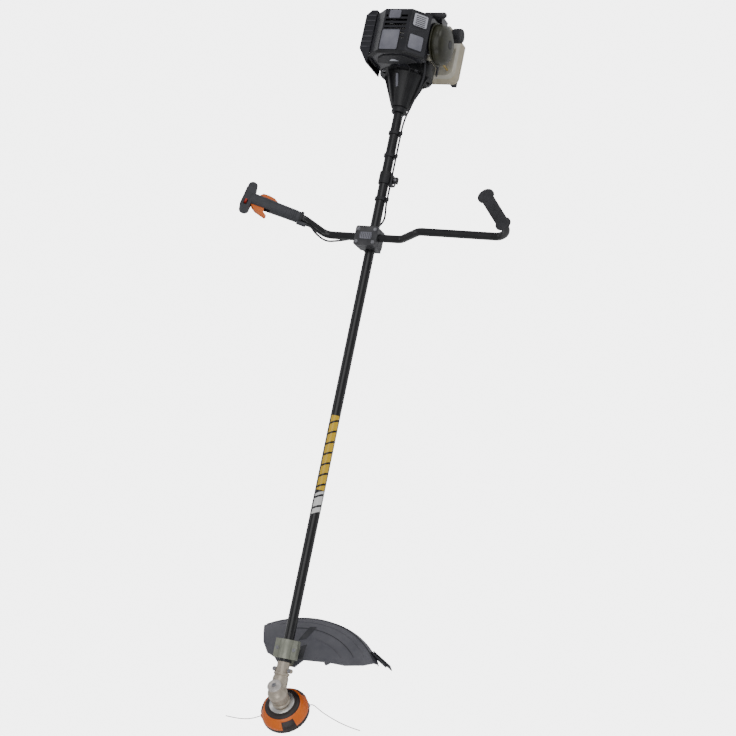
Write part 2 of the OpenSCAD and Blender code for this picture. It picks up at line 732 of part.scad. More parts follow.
// ---- Drive line ----
module clutch_drum() {
    color("#8b8d90") difference() {
        union() {
            along_x(47) ring(drum_r, drum_r - drum_wall, 19);
            along_x(63) cylinder(r = drum_r - 1, h = 3);
            along_x(65.9) cylinder(r = 5, h = 35);
        }
        along_x(86) cylinder(r = drive_r + 0.02, h = 20);
        for (a = [0 : 60 : 300])
            along_x(62) rotate([0, 0, a]) translate([24, 0, 0]) cylinder(r = 6, h = 5);
    }
}
module drive_shaft() {
    color("#a5a8ab") along_x(88) cylinder(r = drive_r, h = reach - 50 - 88);
}
function cone_pt(delta, dist, lift, side) =
    [dist * sin(delta) + lift * cos(delta), side, dist * cos(delta) - lift * sin(delta)];
module bevel_tooth(delta, top) {
    pitch_half = gear_module * 90 / 57.2958 * 0.5;
    near = cone_len - tooth_face;
    function section(s, dist) = [
        for (q = [[-top[1], -tooth_root - 0.3], [-top[0], tooth_top], [top[0], tooth_top],
                  [top[1], -tooth_root - 0.3]])
            cone_pt(delta, dist, q[1] * s, q[0] * s * pitch_half)
    ];
    pts = concat(section(near / cone_len, near), section(1, cone_len));
    polyhedron(pts, [[0, 1, 2, 3], [7, 6, 5, 4], [4, 5, 1, 0], [5, 6, 2, 1], [6, 7, 3, 2], [7, 4, 0, 3]]);
}
// A bevel wheel with its apex at the origin and its body towards +Z
module bevel_wheel(delta, teeth, hub_r, hub_end, start) {
    near = cone_len - tooth_face;
    root = tooth_root;
    a = cone_pt(delta, near, -root * near / cone_len, 0);
    b = cone_pt(delta, cone_len, -root, 0);
    rotate_extrude() polygon([[0, a[2]], [a[0], a[2]], [b[0], b[2]], [b[0], b[2] + 1.5],
                              [hub_r, b[2] + 3.5], [hub_r, hub_end], [0, hub_end]]);
    for (i = [0 : teeth - 1]) rotate([0, 0, start + 360 * i / teeth]) bevel_tooth(delta, tooth_halves);
}
module bevel_pinion() {
    color("#8f9295") difference() {
        along_x(reach) mirror([0, 0, 1]) {
            bevel_wheel(delta1, pinion_teeth, 7, 27, pinion_start);
            translate([0, 0, 26]) cylinder(r = 4.5, h = 27);
        }
        along_x(reach - 54) cylinder(r = drive_r + 0.02, h = 8);
    }
}
module driven_gear() {
    color("#8f9295") at_head() {
        mirror([0, 0, 1]) bevel_wheel(delta2, gear_teeth, 9, 17, 180);
        translate([0, 0, -36.8]) cylinder(r = 6, h = 21);
        translate([0, 0, -58]) cylinder(r = 5, h = 22);
    }
}
module gear_case() {
    color("#b5ab99") difference() {
        union() {
            along_x(reach - 76) cylinder(r = neck_r, h = 52);
            along_x(reach - 48) cylinder(r1 = neck_r, r2 = 19, h = 12);
            along_x(reach - 36) cylinder(r = 19, h = 26);
            at_axis(reach) sphere(r = 24);
            at_head() translate([0, 0, -14]) cylinder(r = 22.5, h = 16);
            at_head() translate([0, 0, -34]) cylinder(r1 = 17, r2 = 22.5, h = 20.1);
            at_head() cylinder(r = 15, h = 32);
            for (y = [-1, 1])
                translate([case_boss_x, y * case_boss_y, axis_h - 7]) cylinder(r = 5.5, h = 12);
        }
        along_x(reach - 77) cylinder(r = tube_r + fit_gap, h = 25.1);
        along_x(reach - 54) cylinder(r = 10, h = 10);
        along_x(reach - 46) cylinder(r = 12, h = 18);
        along_x(reach - 28.1) cylinder(r = 14.8, h = 24);
        at_head() translate([0, 0, -17.5]) cylinder(r = 19, h = 17);
        at_head() translate([0, 0, -35]) cylinder(r = 14, h = 18);
        screw_places("gear_case") screw_hole();
    }
}

// ---- Cutting head ----
module head_flange() {
    color("#d9d6d2") difference() {
        at_head() translate([0, 0, flange_z - flange_t]) cylinder(r = 31.5, h = flange_t);
        at_head() translate([0, 0, flange_z - flange_t - 1]) cylinder(r = 6 + fit_gap, h = flange_t + 2);
    }
}
module eyelet_holes(r) {
    for (a = [eyelet_angle, eyelet_angle + 180])
        rotate([0, 0, a]) translate([head_r - 12, 0, eyelet_z]) rotate([0, 90, 0]) cylinder(r = r, h = 20);
}
module head_housing() {
    outer = [[7, housing_top], [37, housing_top], [47, housing_top - 7], [head_r, skirt_z],
             [head_r, skirt_bottom]];
    inner = [[head_r - head_wall, skirt_bottom], [head_r - head_wall, skirt_z + 0.8],
             [45.5, housing_top - 9.5], [36, housing_top - head_wall], [7, housing_top - head_wall]];
    color("#e8862c") at_head() difference() {
        rotate_extrude($fn = 96) polygon(concat(outer, inner));
        eyelet_holes(line_r + 0.9);
    }
}
module line_left() {
    color("#7d7378") at_head() translate(line_root(180)) sweep(line_left_pts, line_r, 8);
}
module line_right() {
    color("#7d7378") at_head() translate(line_root(0)) sweep(line_right_pts, line_r, 8);
}
module bump_knob() {
    knob_r = knob_d / 2;
    plate = skirt_bottom + 2;
    color("#18181a") at_head() difference() {
        union() {
            translate([0, 0, plate - 9]) cylinder(r1 = knob_r + 8, r2 = head_r - head_wall - 1.5, h = 9);
            translate([0, 0, plate - 9 - 12]) cylinder(r1 = knob_r - 5, r2 = knob_r, h = 12.1);
        }
        for (a = [0 : 45 : 315])
            rotate([0, 0, a]) translate([knob_r + 3, 0, plate - 30]) cylinder(r = 4, h = 28);
    }
}
module line_spool() {
    base = skirt_bottom + 2;
    color("#222224") at_head() {
        difference() {
            union() {
                translate([0, 0, base]) cylinder(r = head_r - head_wall - 3.5, h = 2);
                translate([0, 0, base]) cylinder(r = 20, h = spool_h - 1);
                translate([0, 0, base + spool_h - 2]) cylinder(r = 34, h = 2);
            }
            translate([0, 0, base + 14]) cylinder(r = 15, h = 20);
            translate([0, 0, base + 4]) cylinder(r = 7, h = 20);
        }
        translate([0, 0, base + 2.2]) ring(41, 20.3, 13);
    }
}
module head_spring() {
    color("#c0c4c8") at_head() translate([0, 0, skirt_bottom + 16.3]) ring(13, 10, 22);
}

// ---- Guard ----
module guard_half_plane() {
    translate([0, 0, -60]) linear_extrude(120)
        polygon([[-guard_edge, 22], [-guard_edge, -22], [-86, -42], [-99, -78], [-310, -186], [-310, 330],
                 [-150, 330], [-146, 212], [-117, 180], [-102, 140], [-92, 36]]);
}
module guard() {
    slope = 14;
    shoulder = 30;
    outer = [[30, guard_top], [guard_flat, guard_top], [guard_r - shoulder - 8, guard_top - slope],
             [guard_r - 8, guard_top - slope - 12], [guard_r, guard_top - slope - 24], [guard_r, guard_rim]];
    inner = [[guard_r - guard_wall, guard_rim], [guard_r - guard_wall, guard_top - slope - 23],
             [guard_r - 10, guard_top - slope - 13.5],
             [guard_r - shoulder - 8.4, guard_top - slope - guard_wall],
             [guard_flat, guard_top - guard_wall], [30, guard_top - guard_wall]];
    color("#55565c") at_head() {
        intersection() {
            translate([0, guard_shift, 0]) rotate([0, 0, 122])
                rotate_extrude(angle = 98, $fn = 180) polygon(concat(outer, inner));
            guard_half_plane();
        }
        for (a = [142, 161, 180, 199])
            intersection() {
                translate([0, guard_shift, 0]) rotate([0, 0, a]) rotate([90, 0, 0])
                    translate([0, 0, -1.5]) linear_extrude(3)
                        polygon([[108, guard_top - 1.5], [guard_flat, guard_top - 1.5],
                                 [guard_r - 40, guard_top - 15.5], [guard_r - 1.5, guard_top - 42],
                                 [guard_r - 40, guard_top - 26], [108, guard_top - 12]]);
                guard_half_plane();
            }
    }
}
module guard_clamp() {
    w = clamp_ear_y + 7;
    color("#a9a996") difference() {
        union() {
            along_x(clamp_x - clamp_half) cylinder(r = tube_r + 6, h = 2 * clamp_half);
            at_axis(clamp_x) box(-clamp_half, clamp_half, -w, w, -8, 8);
            intersection() {
                at_axis(clamp_x) box(-clamp_half, 53, -16, 16, -60, -8);
                at_head() box(-120, -guard_edge, -30, 30, guard_top, 60);
            }
        }
        along_x(clamp_x - 30) cylinder(r = tube_r + fit_gap, h = 90);
        along_x(reach - 76.5) cylinder(r = neck_r + 0.3, h = 60);
        at_axis(clamp_x) box(-24, 24, -w - 1, -tube_r + 2, -0.6, 0.6);
        at_axis(clamp_x) box(-24, 24, tube_r - 2, w + 1, -0.6, 0.6);
        screw_places("guard") screw_hole();
    }
}
module line_cutter() {
    color("#4a4b50") at_head() translate([0, guard_shift, guard_rim + 2]) rotate([0, 0, cutter_angle])
        translate([guard_r + 0.3, 0, 0]) rotate([0, 0, -cutter_flare])
            translate([0, -66, 0]) cube([2.5, 66, 20]);
}

// ---- Handlebar ----
module left_bar() {
    p = [for (q = left_pts) bar_point(q)];
    color("#161618") at_bar() bar_tube(p);
}
module right_bar() {
    p = [for (q = right_pts) bar_point(q)];
    color("#161618") at_bar() bar_tube(p);
}
module clamp_block(z0, z1) {
    translate([bar_x, 0, axis_h]) translate([0, 0, z0]) linear_extrude(z1 - z0)
        round_rect(-26, 26, -clamp_w / 2, clamp_w / 2, 6);
}
module bar_bore(r) {
    translate([bar_x, -clamp_w, axis_h + bar_rise]) rotate([-90, 0, 0]) cylinder(r = r, h = 2 * clamp_w);
}
module bar_bracket() {
    color("#242427") difference() {
        clamp_block(-tube_r - 6, bar_rise - 0.5);
        along_x(bar_x - 40) cylinder(r = tube_r + fit_gap, h = 80);
        bar_bore(bar_r + fit_gap);
        screw_places("bar") screw_hole();
        at_axis(bar_x) box(-30, 30, -clamp_w, -tube_r - 9, -tube_r - 7, -2);
        at_axis(bar_x) box(-30, 30, tube_r + 9, clamp_w, -tube_r - 7, -2);
    }
}
module bar_cap() {
    color("#242427") difference() {
        clamp_block(bar_rise + 0.5, bar_rise + cap_top);
        bar_bore(bar_r + fit_gap);
        screw_places("bar") screw_hole();
    }
}
module left_grip() {
    n = len(left_pts) - 1;
    a = bar_point(left_pts[n - 1]);
    b = bar_point(left_pts[n]);
    d = unit(b - a);
    tip = b + d * 4;
    root = tip - d * grip_len;
    color("#1c1c1e") at_bar() difference() {
        union() {
            rod(root, tip, grip_d / 2);
            rod(root - d * 4, root + d * 4, grip_d / 2 + 4);
            rod(tip - d * 7, tip, grip_d / 2 + 5);
        }
        rod(root - d * 10, b + d * 0.3, bar_r + fit_gap);
    }
}

// ---- Throttle grip: x points to the fingers, z along the bar ----
pivot_x = 10;
pivot_z = 138;
lock_x = -11;
lock_z = 82;
module throttle_grip() {
    color("#1e1e21") at_throttle() difference() {
        union() {
            hull() {
                translate([1, 0, 7]) cylinder(r = 15, h = 1, $fn = 32);
                translate([1, 0, handle_len]) cylinder(r = 18, h = 1, $fn = 32);
            }
            hull() {
                translate([-32, 0, handle_len + 8]) rotate([90, 0, 0])
                    cylinder(r = 12, h = 26, center = true, $fn = 32);
                translate([29, 0, handle_len + 8]) rotate([90, 0, 0])
                    cylinder(r = 13, h = 28, center = true, $fn = 32);
            }
            translate([cable_entry, 0, -8]) cylinder(r = 6, h = 24);
        }
        translate([0, 0, -20]) cylinder(r = bar_r + fit_gap, h = 20.3 + throttle_end);
        translate([-2, -6.3, pivot_z - 48]) cube([30, 12.6, 54]);
        translate([-24, -4.8, lock_z - 6]) cube([18, 9.6, 54]);
        translate([pivot_x, 0, pivot_z]) rotate([90, 0, 0])
            cylinder(r = 2.5 + run_gap, h = 19, center = true);
        translate([lock_x, 0, lock_z]) rotate([90, 0, 0]) cylinder(r = 2 + run_gap, h = 15, center = true);
        translate([15, 7, handle_len + 4]) cube([16, 12, 9]);
        translate([cable_entry, 0, -9]) cylinder(r = cable_r + 0.3, h = 16);
    }
}
module throttle_trigger() {
    color("#e8862c") at_throttle() {
        translate([pivot_x, 0, pivot_z]) rotate([90, 0, 0]) cylinder(r = 5.5, h = 11.6, center = true);
        translate([pivot_x, 0, pivot_z]) rotate([90, 0, 0]) cylinder(r = 2.5, h = 18, center = true);
        translate([0, 5.8, 0]) rotate([90, 0, 0]) linear_extrude(11.6)
            polygon([for (q = [[-3, 4], [11, 1], [21, -12], [26, -28], [30, -42], [25, -44.5],
                               [18, -34], [6, -32], [2, -16]]) [pivot_x + q[0], pivot_z + q[1]]]);
    }
}
module lockout_lever() {
    color("#e8862c") at_throttle() {
        translate([lock_x, 0, lock_z]) rotate([90, 0, 0]) cylinder(r = 4, h = 9, center = true);
        translate([lock_x, 0, lock_z]) rotate([90, 0, 0]) cylinder(r = 2, h = 14, center = true);
        translate([0, 4.5, 0]) rotate([90, 0, 0]) linear_extrude(9)
            polygon([for (q = [[1, -4], [-6, -2], [-13, 8], [-16, 24], [-15, 40], [-7.6, 46],
                               [-4, 44], [-3, 16]]) [lock_x + q[0], lock_z + q[1]]]);
    }
}
module stop_switch() {
    color("#c33524") at_throttle() {
        translate([16, 9, handle_len + 6]) cube([10, 9, 5.6]);
        translate([17, 17.9, handle_len + 7]) cube([8, 2, 3.6]);
    }
}

// ---- Controls at the engine ----
module throttle_arm() {
    color("#c9a13b") {
        translate([carb_x, carb_y, axis_h + 60]) cylinder(r = 2, h = 12);
        translate([carb_x, carb_y, axis_h + 69.4]) cylinder(r = 4.5, h = 2.5);
        translate([carb_x - 2, carb_y - 1, axis_h + 69.4]) cube([4, 11, 2.5]);
    }
}
choke_x = 38;
choke_z = 22;
module choke_lever() {
    color("#1a1a1c") {
        along_y(choke_x, filter_y - 3.9, choke_z) cylinder(r = 5.5, h = 3.5);
        at_axis() box(choke_x, choke_x + 26, filter_y - 3.9, filter_y - 0.4, choke_z - 12, choke_z - 5);
        at_axis() box(choke_x - 3.5, choke_x + 3.5, filter_y - 3.9, filter_y - 0.4, choke_z - 12, choke_z);
    }
}
module primer_bulb() {
    color("#d8d2c2") difference() {
        union() {
            along_x(20, 78, 48) cylinder(r = 9, h = 6);
            translate([26, 78, axis_h + 48]) sphere(r = 9, $fn = 48);
        }
        along_x(10, 78, 48) cylinder(r = 20, h = 10);
        along_x(19, 78, 48) cylinder(r = 7.5, h = 7);
    }
}

// ---- Cable and clamps ----
module throttle_cable() {
    color("#131315") at_axis() sweep(cable_pts, cable_r, 8);
}
module cable_clips() {
    color("#19191b") for (x = [405, 285, 222])
        difference() {
            union() {
                along_x(x - 4) cylinder(r = tube_r + 2.9, h = 8);
                along_x(x - 4, cable_side, 3) cylinder(r = cable_r + 2, h = 8);
            }
            along_x(x - 6) cylinder(r = tube_r + fit_gap, h = 12);
            along_x(x - 6, cable_side, 3) cylinder(r = cable_r + 0.25, h = 12);
        }
}
eye_z = -tube_r - 14;
module strap_clamp() {
    color("#202023") difference() {
        union() {
            along_x(strap_x - 16) cylinder(r = tube_r + 3.2, h = 32);
            at_axis(strap_x) box(-8, 8, 0, strap_ear_y + 6, -18, strap_ear_top);
            at_axis(strap_x) box(-16, 16, tube_r - 1, tube_r + 2, eye_z + 4, 0);
            along_y(strap_x, tube_r - 1, eye_z) cylinder(r = eye_d / 2 + 5, h = eye_t);
        }
        along_x(strap_x - 20) cylinder(r = tube_r + fit_gap, h = 40);
        along_y(strap_x, tube_r - 3, eye_z) cylinder(r = eye_d / 2, h = 8);
        at_axis(strap_x) box(-17, 17, 7, strap_ear_y + 7, -10.6, -9.8);
        screw_places("strap") screw_hole();
    }
}
module screws() {
    color("#9a9c9f") {
        screw_places("bar") screw();
        screw_places("strap") screw();
        screw_places("guard") screw();
        screw_places("housing") screw();
        screw_places("gear_case") screw();
    }
}

shaft_tube();
shaft_bushings();
clutch_housing();
fan_case();
crankcase();
cylinder_node();  // cylinder
spark_plug();
ignition_coil();
muffler();
muffler_cover();
engine_cover();
carburettor();
filter_base();
filter_foam();
filter_cover();
fuel_tank();
fuel_hose();
tank_stand();
starter_housing();
bearings();
gear_case();
guard();
guard_clamp();
line_cutter();
left_bar();
right_bar();
bar_bracket();
bar_cap();
left_grip();
throttle_grip();
throttle_cable();
cable_clips();
strap_clamp();
screws();
crankshaft();
flywheel();
clutch_shoes();
piston();
connecting_rod();
clutch_drum();
drive_shaft();
bevel_pinion();
driven_gear();
head_flange();
head_housing();
line_left();
line_right();
bump_knob();
line_spool();
head_spring();
throttle_trigger();
lockout_lever();
stop_switch();
choke_lever();
primer_bulb();
fuel_cap();
starter_handle();
starter_pulley();
starter_rope();
throttle_arm();
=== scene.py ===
# Straight-shaft string trimmer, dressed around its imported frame. Metres: X to the cutting head, Z up.
import json
import math

import bmesh
import bpy
from mathutils import Matrix, Vector

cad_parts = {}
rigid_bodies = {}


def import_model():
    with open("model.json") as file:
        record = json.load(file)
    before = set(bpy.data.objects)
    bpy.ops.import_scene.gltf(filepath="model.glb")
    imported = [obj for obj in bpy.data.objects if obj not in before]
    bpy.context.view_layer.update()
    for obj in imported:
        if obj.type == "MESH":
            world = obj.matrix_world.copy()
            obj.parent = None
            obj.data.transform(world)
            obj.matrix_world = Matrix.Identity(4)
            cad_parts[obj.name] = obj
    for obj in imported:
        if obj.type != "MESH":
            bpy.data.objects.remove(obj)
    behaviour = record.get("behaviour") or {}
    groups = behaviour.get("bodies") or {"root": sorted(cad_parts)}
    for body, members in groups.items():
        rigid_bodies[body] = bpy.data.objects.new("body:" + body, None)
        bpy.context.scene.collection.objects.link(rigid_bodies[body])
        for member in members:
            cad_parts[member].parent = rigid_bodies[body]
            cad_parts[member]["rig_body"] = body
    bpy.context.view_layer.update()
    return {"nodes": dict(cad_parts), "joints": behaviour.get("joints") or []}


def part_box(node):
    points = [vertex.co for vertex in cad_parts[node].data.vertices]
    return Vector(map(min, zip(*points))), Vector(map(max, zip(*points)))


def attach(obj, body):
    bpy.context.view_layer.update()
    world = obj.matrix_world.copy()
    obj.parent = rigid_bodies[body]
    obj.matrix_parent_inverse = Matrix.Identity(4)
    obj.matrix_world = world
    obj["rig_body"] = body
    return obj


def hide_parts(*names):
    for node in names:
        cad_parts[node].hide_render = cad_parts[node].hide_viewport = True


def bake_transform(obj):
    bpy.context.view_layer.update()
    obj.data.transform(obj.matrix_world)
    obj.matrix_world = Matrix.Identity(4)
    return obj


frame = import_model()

nodes = frame["nodes"]
joints = {joint["name"]: joint for joint in frame["joints"]}
scene = bpy.context.scene
print("frame loaded:", len(nodes), "nodes")

# Places that everything is built from
shaftHeight = joints["crank_spin"]["pos_m"][2]
shaftAxis = Vector((0, 0, shaftHeight))
apex = Vector(joints["head_spin"]["pos_m"])
headUp = Vector(joints["head_spin"]["axis"]).normalized()
headForward = Vector((0, 1, 0)).cross(headUp)


def placeFrom(origin, alongZ, alongX):
    z = Vector(alongZ).normalized()
    y = z.cross(Vector(alongX)).normalized()
    x = y.cross(z)
    return Matrix.Translation(origin) @ Matrix((x, y, z)).transposed().to_4x4()


headPlace = placeFrom(apex, headUp, headForward)  # local Z up the cutting head's axis
shaftPlace = placeFrom(shaftAxis, (1, 0, 0), (0, 0, -1))  # local Z along the shaft, local Y to the left
enginePlace = Matrix.Translation(shaftAxis)
leftPlace = placeFrom(shaftAxis, (0, 1, 0), (1, 0, 0))  # local Z to the left, local Y down

# Handlebar's plane, its corners as (left, height in the plane), and the throttle handle on its end
bar = {
    "lift": 0.028, "tilt": 20, "radius": 0.010, "bend": 0.034, "jog": 0.036, "gripLean": 11.8,
    "throttleLean": 62.5,
}
barX = sum(corner.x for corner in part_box("bar_cap")) / 2
barTilt = Matrix.Rotation(math.radians(-bar["tilt"]), 4, "Y")
barPlace = Matrix.Translation((barX, 0, shaftHeight + bar["lift"])) @ barTilt


# Wires: small classes for the values and nodes of shader and geometry trees
class Wire:
    def __init__(self, graph, socket):
        self.graph = graph
        self.socket = socket

    def maths(self, operation, *others):
        return self.graph.put(
            "ShaderNodeMath", {"operation": operation}, dict(enumerate((self, *others))),
        )[0]

    def __add__(self, other):
        return self.maths("ADD", other)

    def __radd__(self, other):
        return self.maths("ADD", other)

    def __sub__(self, other):
        return self.maths("SUBTRACT", other)

    def __rsub__(self, other):
        return self.maths("MULTIPLY_ADD", -1.0, other)

    def __mul__(self, other):
        return self.maths("MULTIPLY", other)

    def __rmul__(self, other):
        return self.maths("MULTIPLY", other)

    def __truediv__(self, other):
        return self.maths("DIVIDE", other)

    def over(self, edge, soft):
        spread = {"From Min": edge - soft, "From Max": edge + soft}
        return self.graph.put("ShaderNodeMapRange", {}, {"Value": self, **spread})["Result"]


class Made:
    def __init__(self, graph, node):
        self.graph = graph
        self.node = node

    def __getitem__(self, key):
        return Wire(self.graph, self.node.outputs[key])


class Graph:
    def __init__(self, tree):
        self.tree = tree

    def put(self, kind, settings=None, sockets=None):
        node = self.tree.nodes.new(kind)
        for name, value in (settings or {}).items():
            if name == "stops":
                ramp = node.color_ramp.elements
                while len(ramp) < len(value):
                    ramp.new(0.5)
                for element, (position, colour) in zip(ramp, value):
                    element.position = position
                    element.color = colour
            else:
                setattr(node, name, value)
        for key, value in (sockets or {}).items():
            if isinstance(value, Wire):
                self.tree.links.new(value.socket, node.inputs[key])
            else:
                node.inputs[key].default_value = value
        return Made(self, node)

    def noise(self, where, scale, detail=3.0, rough=0.55):
        return self.put(
            "ShaderNodeTexNoise", {},
            {"Vector": where, "Scale": scale, "Detail": detail, "Roughness": rough},
        )[0]

    def blendColours(self, mask, first, second):
        made = self.put("ShaderNodeMix", {"data_type": "RGBA"}, {"Factor": mask})
        for index, colour in ((6, first), (7, second)):
            if isinstance(colour, Wire):
                self.tree.links.new(colour.socket, made.node.inputs[index])
            else:
                made.node.inputs[index].default_value = colour
        return made[2]


def rgb(red, green, blue):
    return (red, green, blue, 1.0)


# Finishes: base and second colour are mottled together, grain is the bump's scale in 1/m
finishes = {}


def makeFinish(name, look, paint=None):
    material = bpy.data.materials.new(name)
    material.use_nodes = True
    material.node_tree.nodes.clear()
    graph = Graph(material.node_tree)
    where = graph.put("ShaderNodeTexCoord")["Object"]
    mottle = graph.noise(where, look.get("mottle", 40), 4)
    grain = graph.noise(where, look.get("grain", 900), 2)
    upward = graph.put(
        "ShaderNodeSeparateXYZ", {}, {0: graph.put("ShaderNodeNewGeometry")["Normal"]},
    )["Z"]
    dust = upward.over(0.75, 0.25) * mottle.over(0.55, 0.2) * look.get("dust", 0.06)
    colour = graph.blendColours(mottle.over(0.5, 0.18), look["base"], look["second"])
    rough = look["rough"] + (mottle - 0.5) * look.get("uneven", 0.25) + dust
    height = grain
    if paint:
        colour, rough, height = paint(graph, where, colour, rough, height)
    colour = graph.blendColours(dust, colour, look.get("dustColour", rgb(0.35, 0.33, 0.30)))
    bump = graph.put(
        "ShaderNodeBump", {}, {"Height": height, "Distance": look.get("depth", 0.0001), "Strength": 0.6},
    )
    fixed = {
        "Metallic": look.get("metal", 0.0), "Coat Weight": look.get("coat", 0.0), "Coat Roughness": 0.12,
    }
    fixed.update(look.get("more", {}))
    varied = {"Base Color": colour, "Roughness": rough, "Normal": bump["Normal"]}
    shader = graph.put("ShaderNodeBsdfPrincipled", {}, {**fixed, **varied})
    graph.put("ShaderNodeOutputMaterial", {}, {"Surface": shader["BSDF"]})
    finishes[name] = material
    return material


def bandMask(value, low, high, soft=0.0006):
    return value.over(low, soft) * (1 - value.over(high, soft))


# Plain coloured flashes on the tube stand where a maker's lettering would be
decal = {
    "start": 0.983, "end": 1.173, "tail": 1.233, "pitch": 0.0270, "gap": 0.0055, "slant": 0.55,
    "halfWidth": 0.0085,
}


def paintDecal(graph, where, colour, rough, height):
    split = graph.put("ShaderNodeSeparateXYZ", {}, {0: where})
    along, side, up = split["X"], split["Y"], split["Z"]
    onTop = bandMask(side - 0.004, -decal["halfWidth"], decal["halfWidth"]) * up.over(shaftHeight, 0.0004)
    slanted = along + side * decal["slant"]
    bars = (slanted / decal["pitch"]).maths("FRACT").over(decal["gap"] / decal["pitch"], 0.02)
    yellow = bandMask(along, decal["start"], decal["end"]) * bars * onTop
    white = bandMask(slanted, decal["end"] + 0.008, decal["tail"]) * bars * onTop
    colour = graph.blendColours(yellow, colour, rgb(0.80, 0.50, 0.015))
    colour = graph.blendColours(white, colour, rgb(0.82, 0.82, 0.80))
    return colour, rough, height


def paintBraid(graph, where, colour, rough, height):
    wave = {"Scale": 420, "Distortion": 0.0}
    left = graph.put(
        "ShaderNodeTexWave", {"bands_direction": "DIAGONAL"}, {"Vector": where, **wave},
    )["Fac"]
    return graph.blendColours(left.over(0.5, 0.3), colour, rgb(0.35, 0.33, 0.30)), rough, left


def paintBrushed(graph, where, colour, rough, height):
    stretched = graph.put("ShaderNodeMapping", {}, {"Vector": where, "Scale": (60, 900, 900)})["Vector"]
    lines = graph.noise(stretched, 1.0, 2)
    return graph.blendColours(lines.over(0.5, 0.3) * 0.35, colour, rgb(0.25, 0.25, 0.26)), rough, lines


def paintCells(graph, where, colour, rough, height):
    cells = graph.put("ShaderNodeTexVoronoi", {}, {"Vector": where, "Scale": 620})["Distance"]
    return graph.blendColours(cells.over(0.35, 0.2), colour, rgb(0.10, 0.09, 0.07)), rough, cells


def paintFuel(graph, where, colour, rough, height):
    level = graph.put("ShaderNodeSeparateXYZ", {}, {0: where})["Z"]
    filled = 1 - level.over(shaftHeight - 0.082, 0.0012)
    return graph.blendColours(filled * 0.45, colour, rgb(0.62, 0.50, 0.26)), rough, height


clear = {"Transmission Weight": 0.35, "IOR": 1.45}
makeFinish(
    "tubeBlack", {"base": rgb(0.004, 0.004, 0.005), "second": rgb(0.008, 0.008, 0.009), "rough": 0.24,
    "coat": 0.25, "dust": 0.006}, paintDecal,
)
makeFinish(
    "barBlack", {"base": rgb(0.005, 0.005, 0.006), "second": rgb(0.010, 0.010, 0.011), "rough": 0.28,
    "coat": 0.2, "dust": 0.006},
)
makeFinish(
    "castBlack", {"base": rgb(0.007, 0.007, 0.008), "second": rgb(0.016, 0.016, 0.018), "rough": 0.42,
    "dust": 0.015, "grain": 700, "depth": 0.0002},
)
makeFinish(
    "glossCover", {"base": rgb(0.007, 0.007, 0.010), "second": rgb(0.015, 0.015, 0.021), "rough": 0.26,
    "coat": 0.35, "mottle": 25, "dust": 0.012},
)
makeFinish(
    "panelGrey", {"base": rgb(0.16, 0.16, 0.19), "second": rgb(0.24, 0.24, 0.28), "rough": 0.30,
    "coat": 0.5, "mottle": 30},
)
makeFinish(
    "panelDark",
    {"base": rgb(0.035, 0.035, 0.042), "second": rgb(0.060, 0.060, 0.070), "rough": 0.36, "coat": 0.2},
)
# Pale finish: the badge and the outlet shield really are pale; on the cover's rear slope it is a painted
# reflection
makeFinish(
    "panelPale", {"base": rgb(0.42, 0.42, 0.47), "second": rgb(0.60, 0.60, 0.65), "rough": 0.28,
    "coat": 0.4, "mottle": 60},
)
makeFinish(
    "carbGrey", {"base": rgb(0.075, 0.066, 0.070), "second": rgb(0.12, 0.105, 0.10), "rough": 0.44,
    "metal": 0.5, "grain": 500, "depth": 0.0003},
)
makeFinish(
    "gearLight", {"base": rgb(0.74, 0.70, 0.66), "second": rgb(0.62, 0.57, 0.52), "rough": 0.34,
    "metal": 0.4, "grain": 500},
)
makeFinish(
    "moulded", {"base": rgb(0.011, 0.011, 0.013), "second": rgb(0.020, 0.020, 0.023), "rough": 0.48,
    "grain": 1400, "dust": 0.01},
)
makeFinish(
    "handleGrey",
    {"base": rgb(0.030, 0.031, 0.037), "second": rgb(0.048, 0.049, 0.058), "rough": 0.5, "grain": 1500},
)
makeFinish(
    "clampGrey", {"base": rgb(0.050, 0.050, 0.054), "second": rgb(0.085, 0.085, 0.090), "rough": 0.38,
    "metal": 0.3, "grain": 600, "depth": 0.0002},
)
makeFinish(
    "oliveLid", {"base": rgb(0.014, 0.014, 0.006), "second": rgb(0.030, 0.030, 0.011), "rough": 0.40,
    "coat": 0.12, "dust": 0.008},
)
makeFinish(
    "gripRubber", {"base": rgb(0.022, 0.022, 0.025), "second": rgb(0.042, 0.042, 0.048), "rough": 0.66,
    "grain": 1800, "depth": 0.0002},
)
makeFinish(
    "guardGrey", {"base": rgb(0.088, 0.088, 0.104), "second": rgb(0.118, 0.118, 0.136), "rough": 0.46,
    "mottle": 18, "grain": 1300, "dust": 0.10},
)
# Darker guard grey for the rim, arcs, slot and cutter parts; the wedge beside the clamp uses it as painted
# shade
makeFinish(
    "guardDark", {"base": rgb(0.032, 0.033, 0.038), "second": rgb(0.048, 0.049, 0.056), "rough": 0.5},
)
makeFinish(
    "clampCream", {"base": rgb(0.36, 0.37, 0.30), "second": rgb(0.25, 0.26, 0.21), "rough": 0.40,
    "metal": 0.45, "grain": 500, "depth": 0.0003},
)
makeFinish(
    "gearChampagne", {"base": rgb(0.60, 0.53, 0.43), "second": rgb(0.47, 0.41, 0.33), "rough": 0.36,
    "metal": 0.5, "grain": 450, "depth": 0.0003},
)
makeFinish(
    "flangeSilver", {"base": rgb(0.72, 0.70, 0.67), "second": rgb(0.55, 0.53, 0.51), "rough": 0.26,
    "metal": 0.9, "grain": 800},
)
makeFinish(
    "steel",
    {"base": rgb(0.52, 0.52, 0.54), "second": rgb(0.36, 0.36, 0.38), "rough": 0.32, "metal": 0.95},
    paintBrushed,
)
makeFinish(
    "darkSteel",
    {"base": rgb(0.10, 0.10, 0.11), "second": rgb(0.17, 0.16, 0.16), "rough": 0.4, "metal": 0.85},
    paintBrushed,
)
makeFinish(
    "castAlloy", {"base": rgb(0.44, 0.44, 0.43), "second": rgb(0.32, 0.32, 0.31), "rough": 0.46,
    "metal": 0.8, "grain": 420, "depth": 0.0003},
)
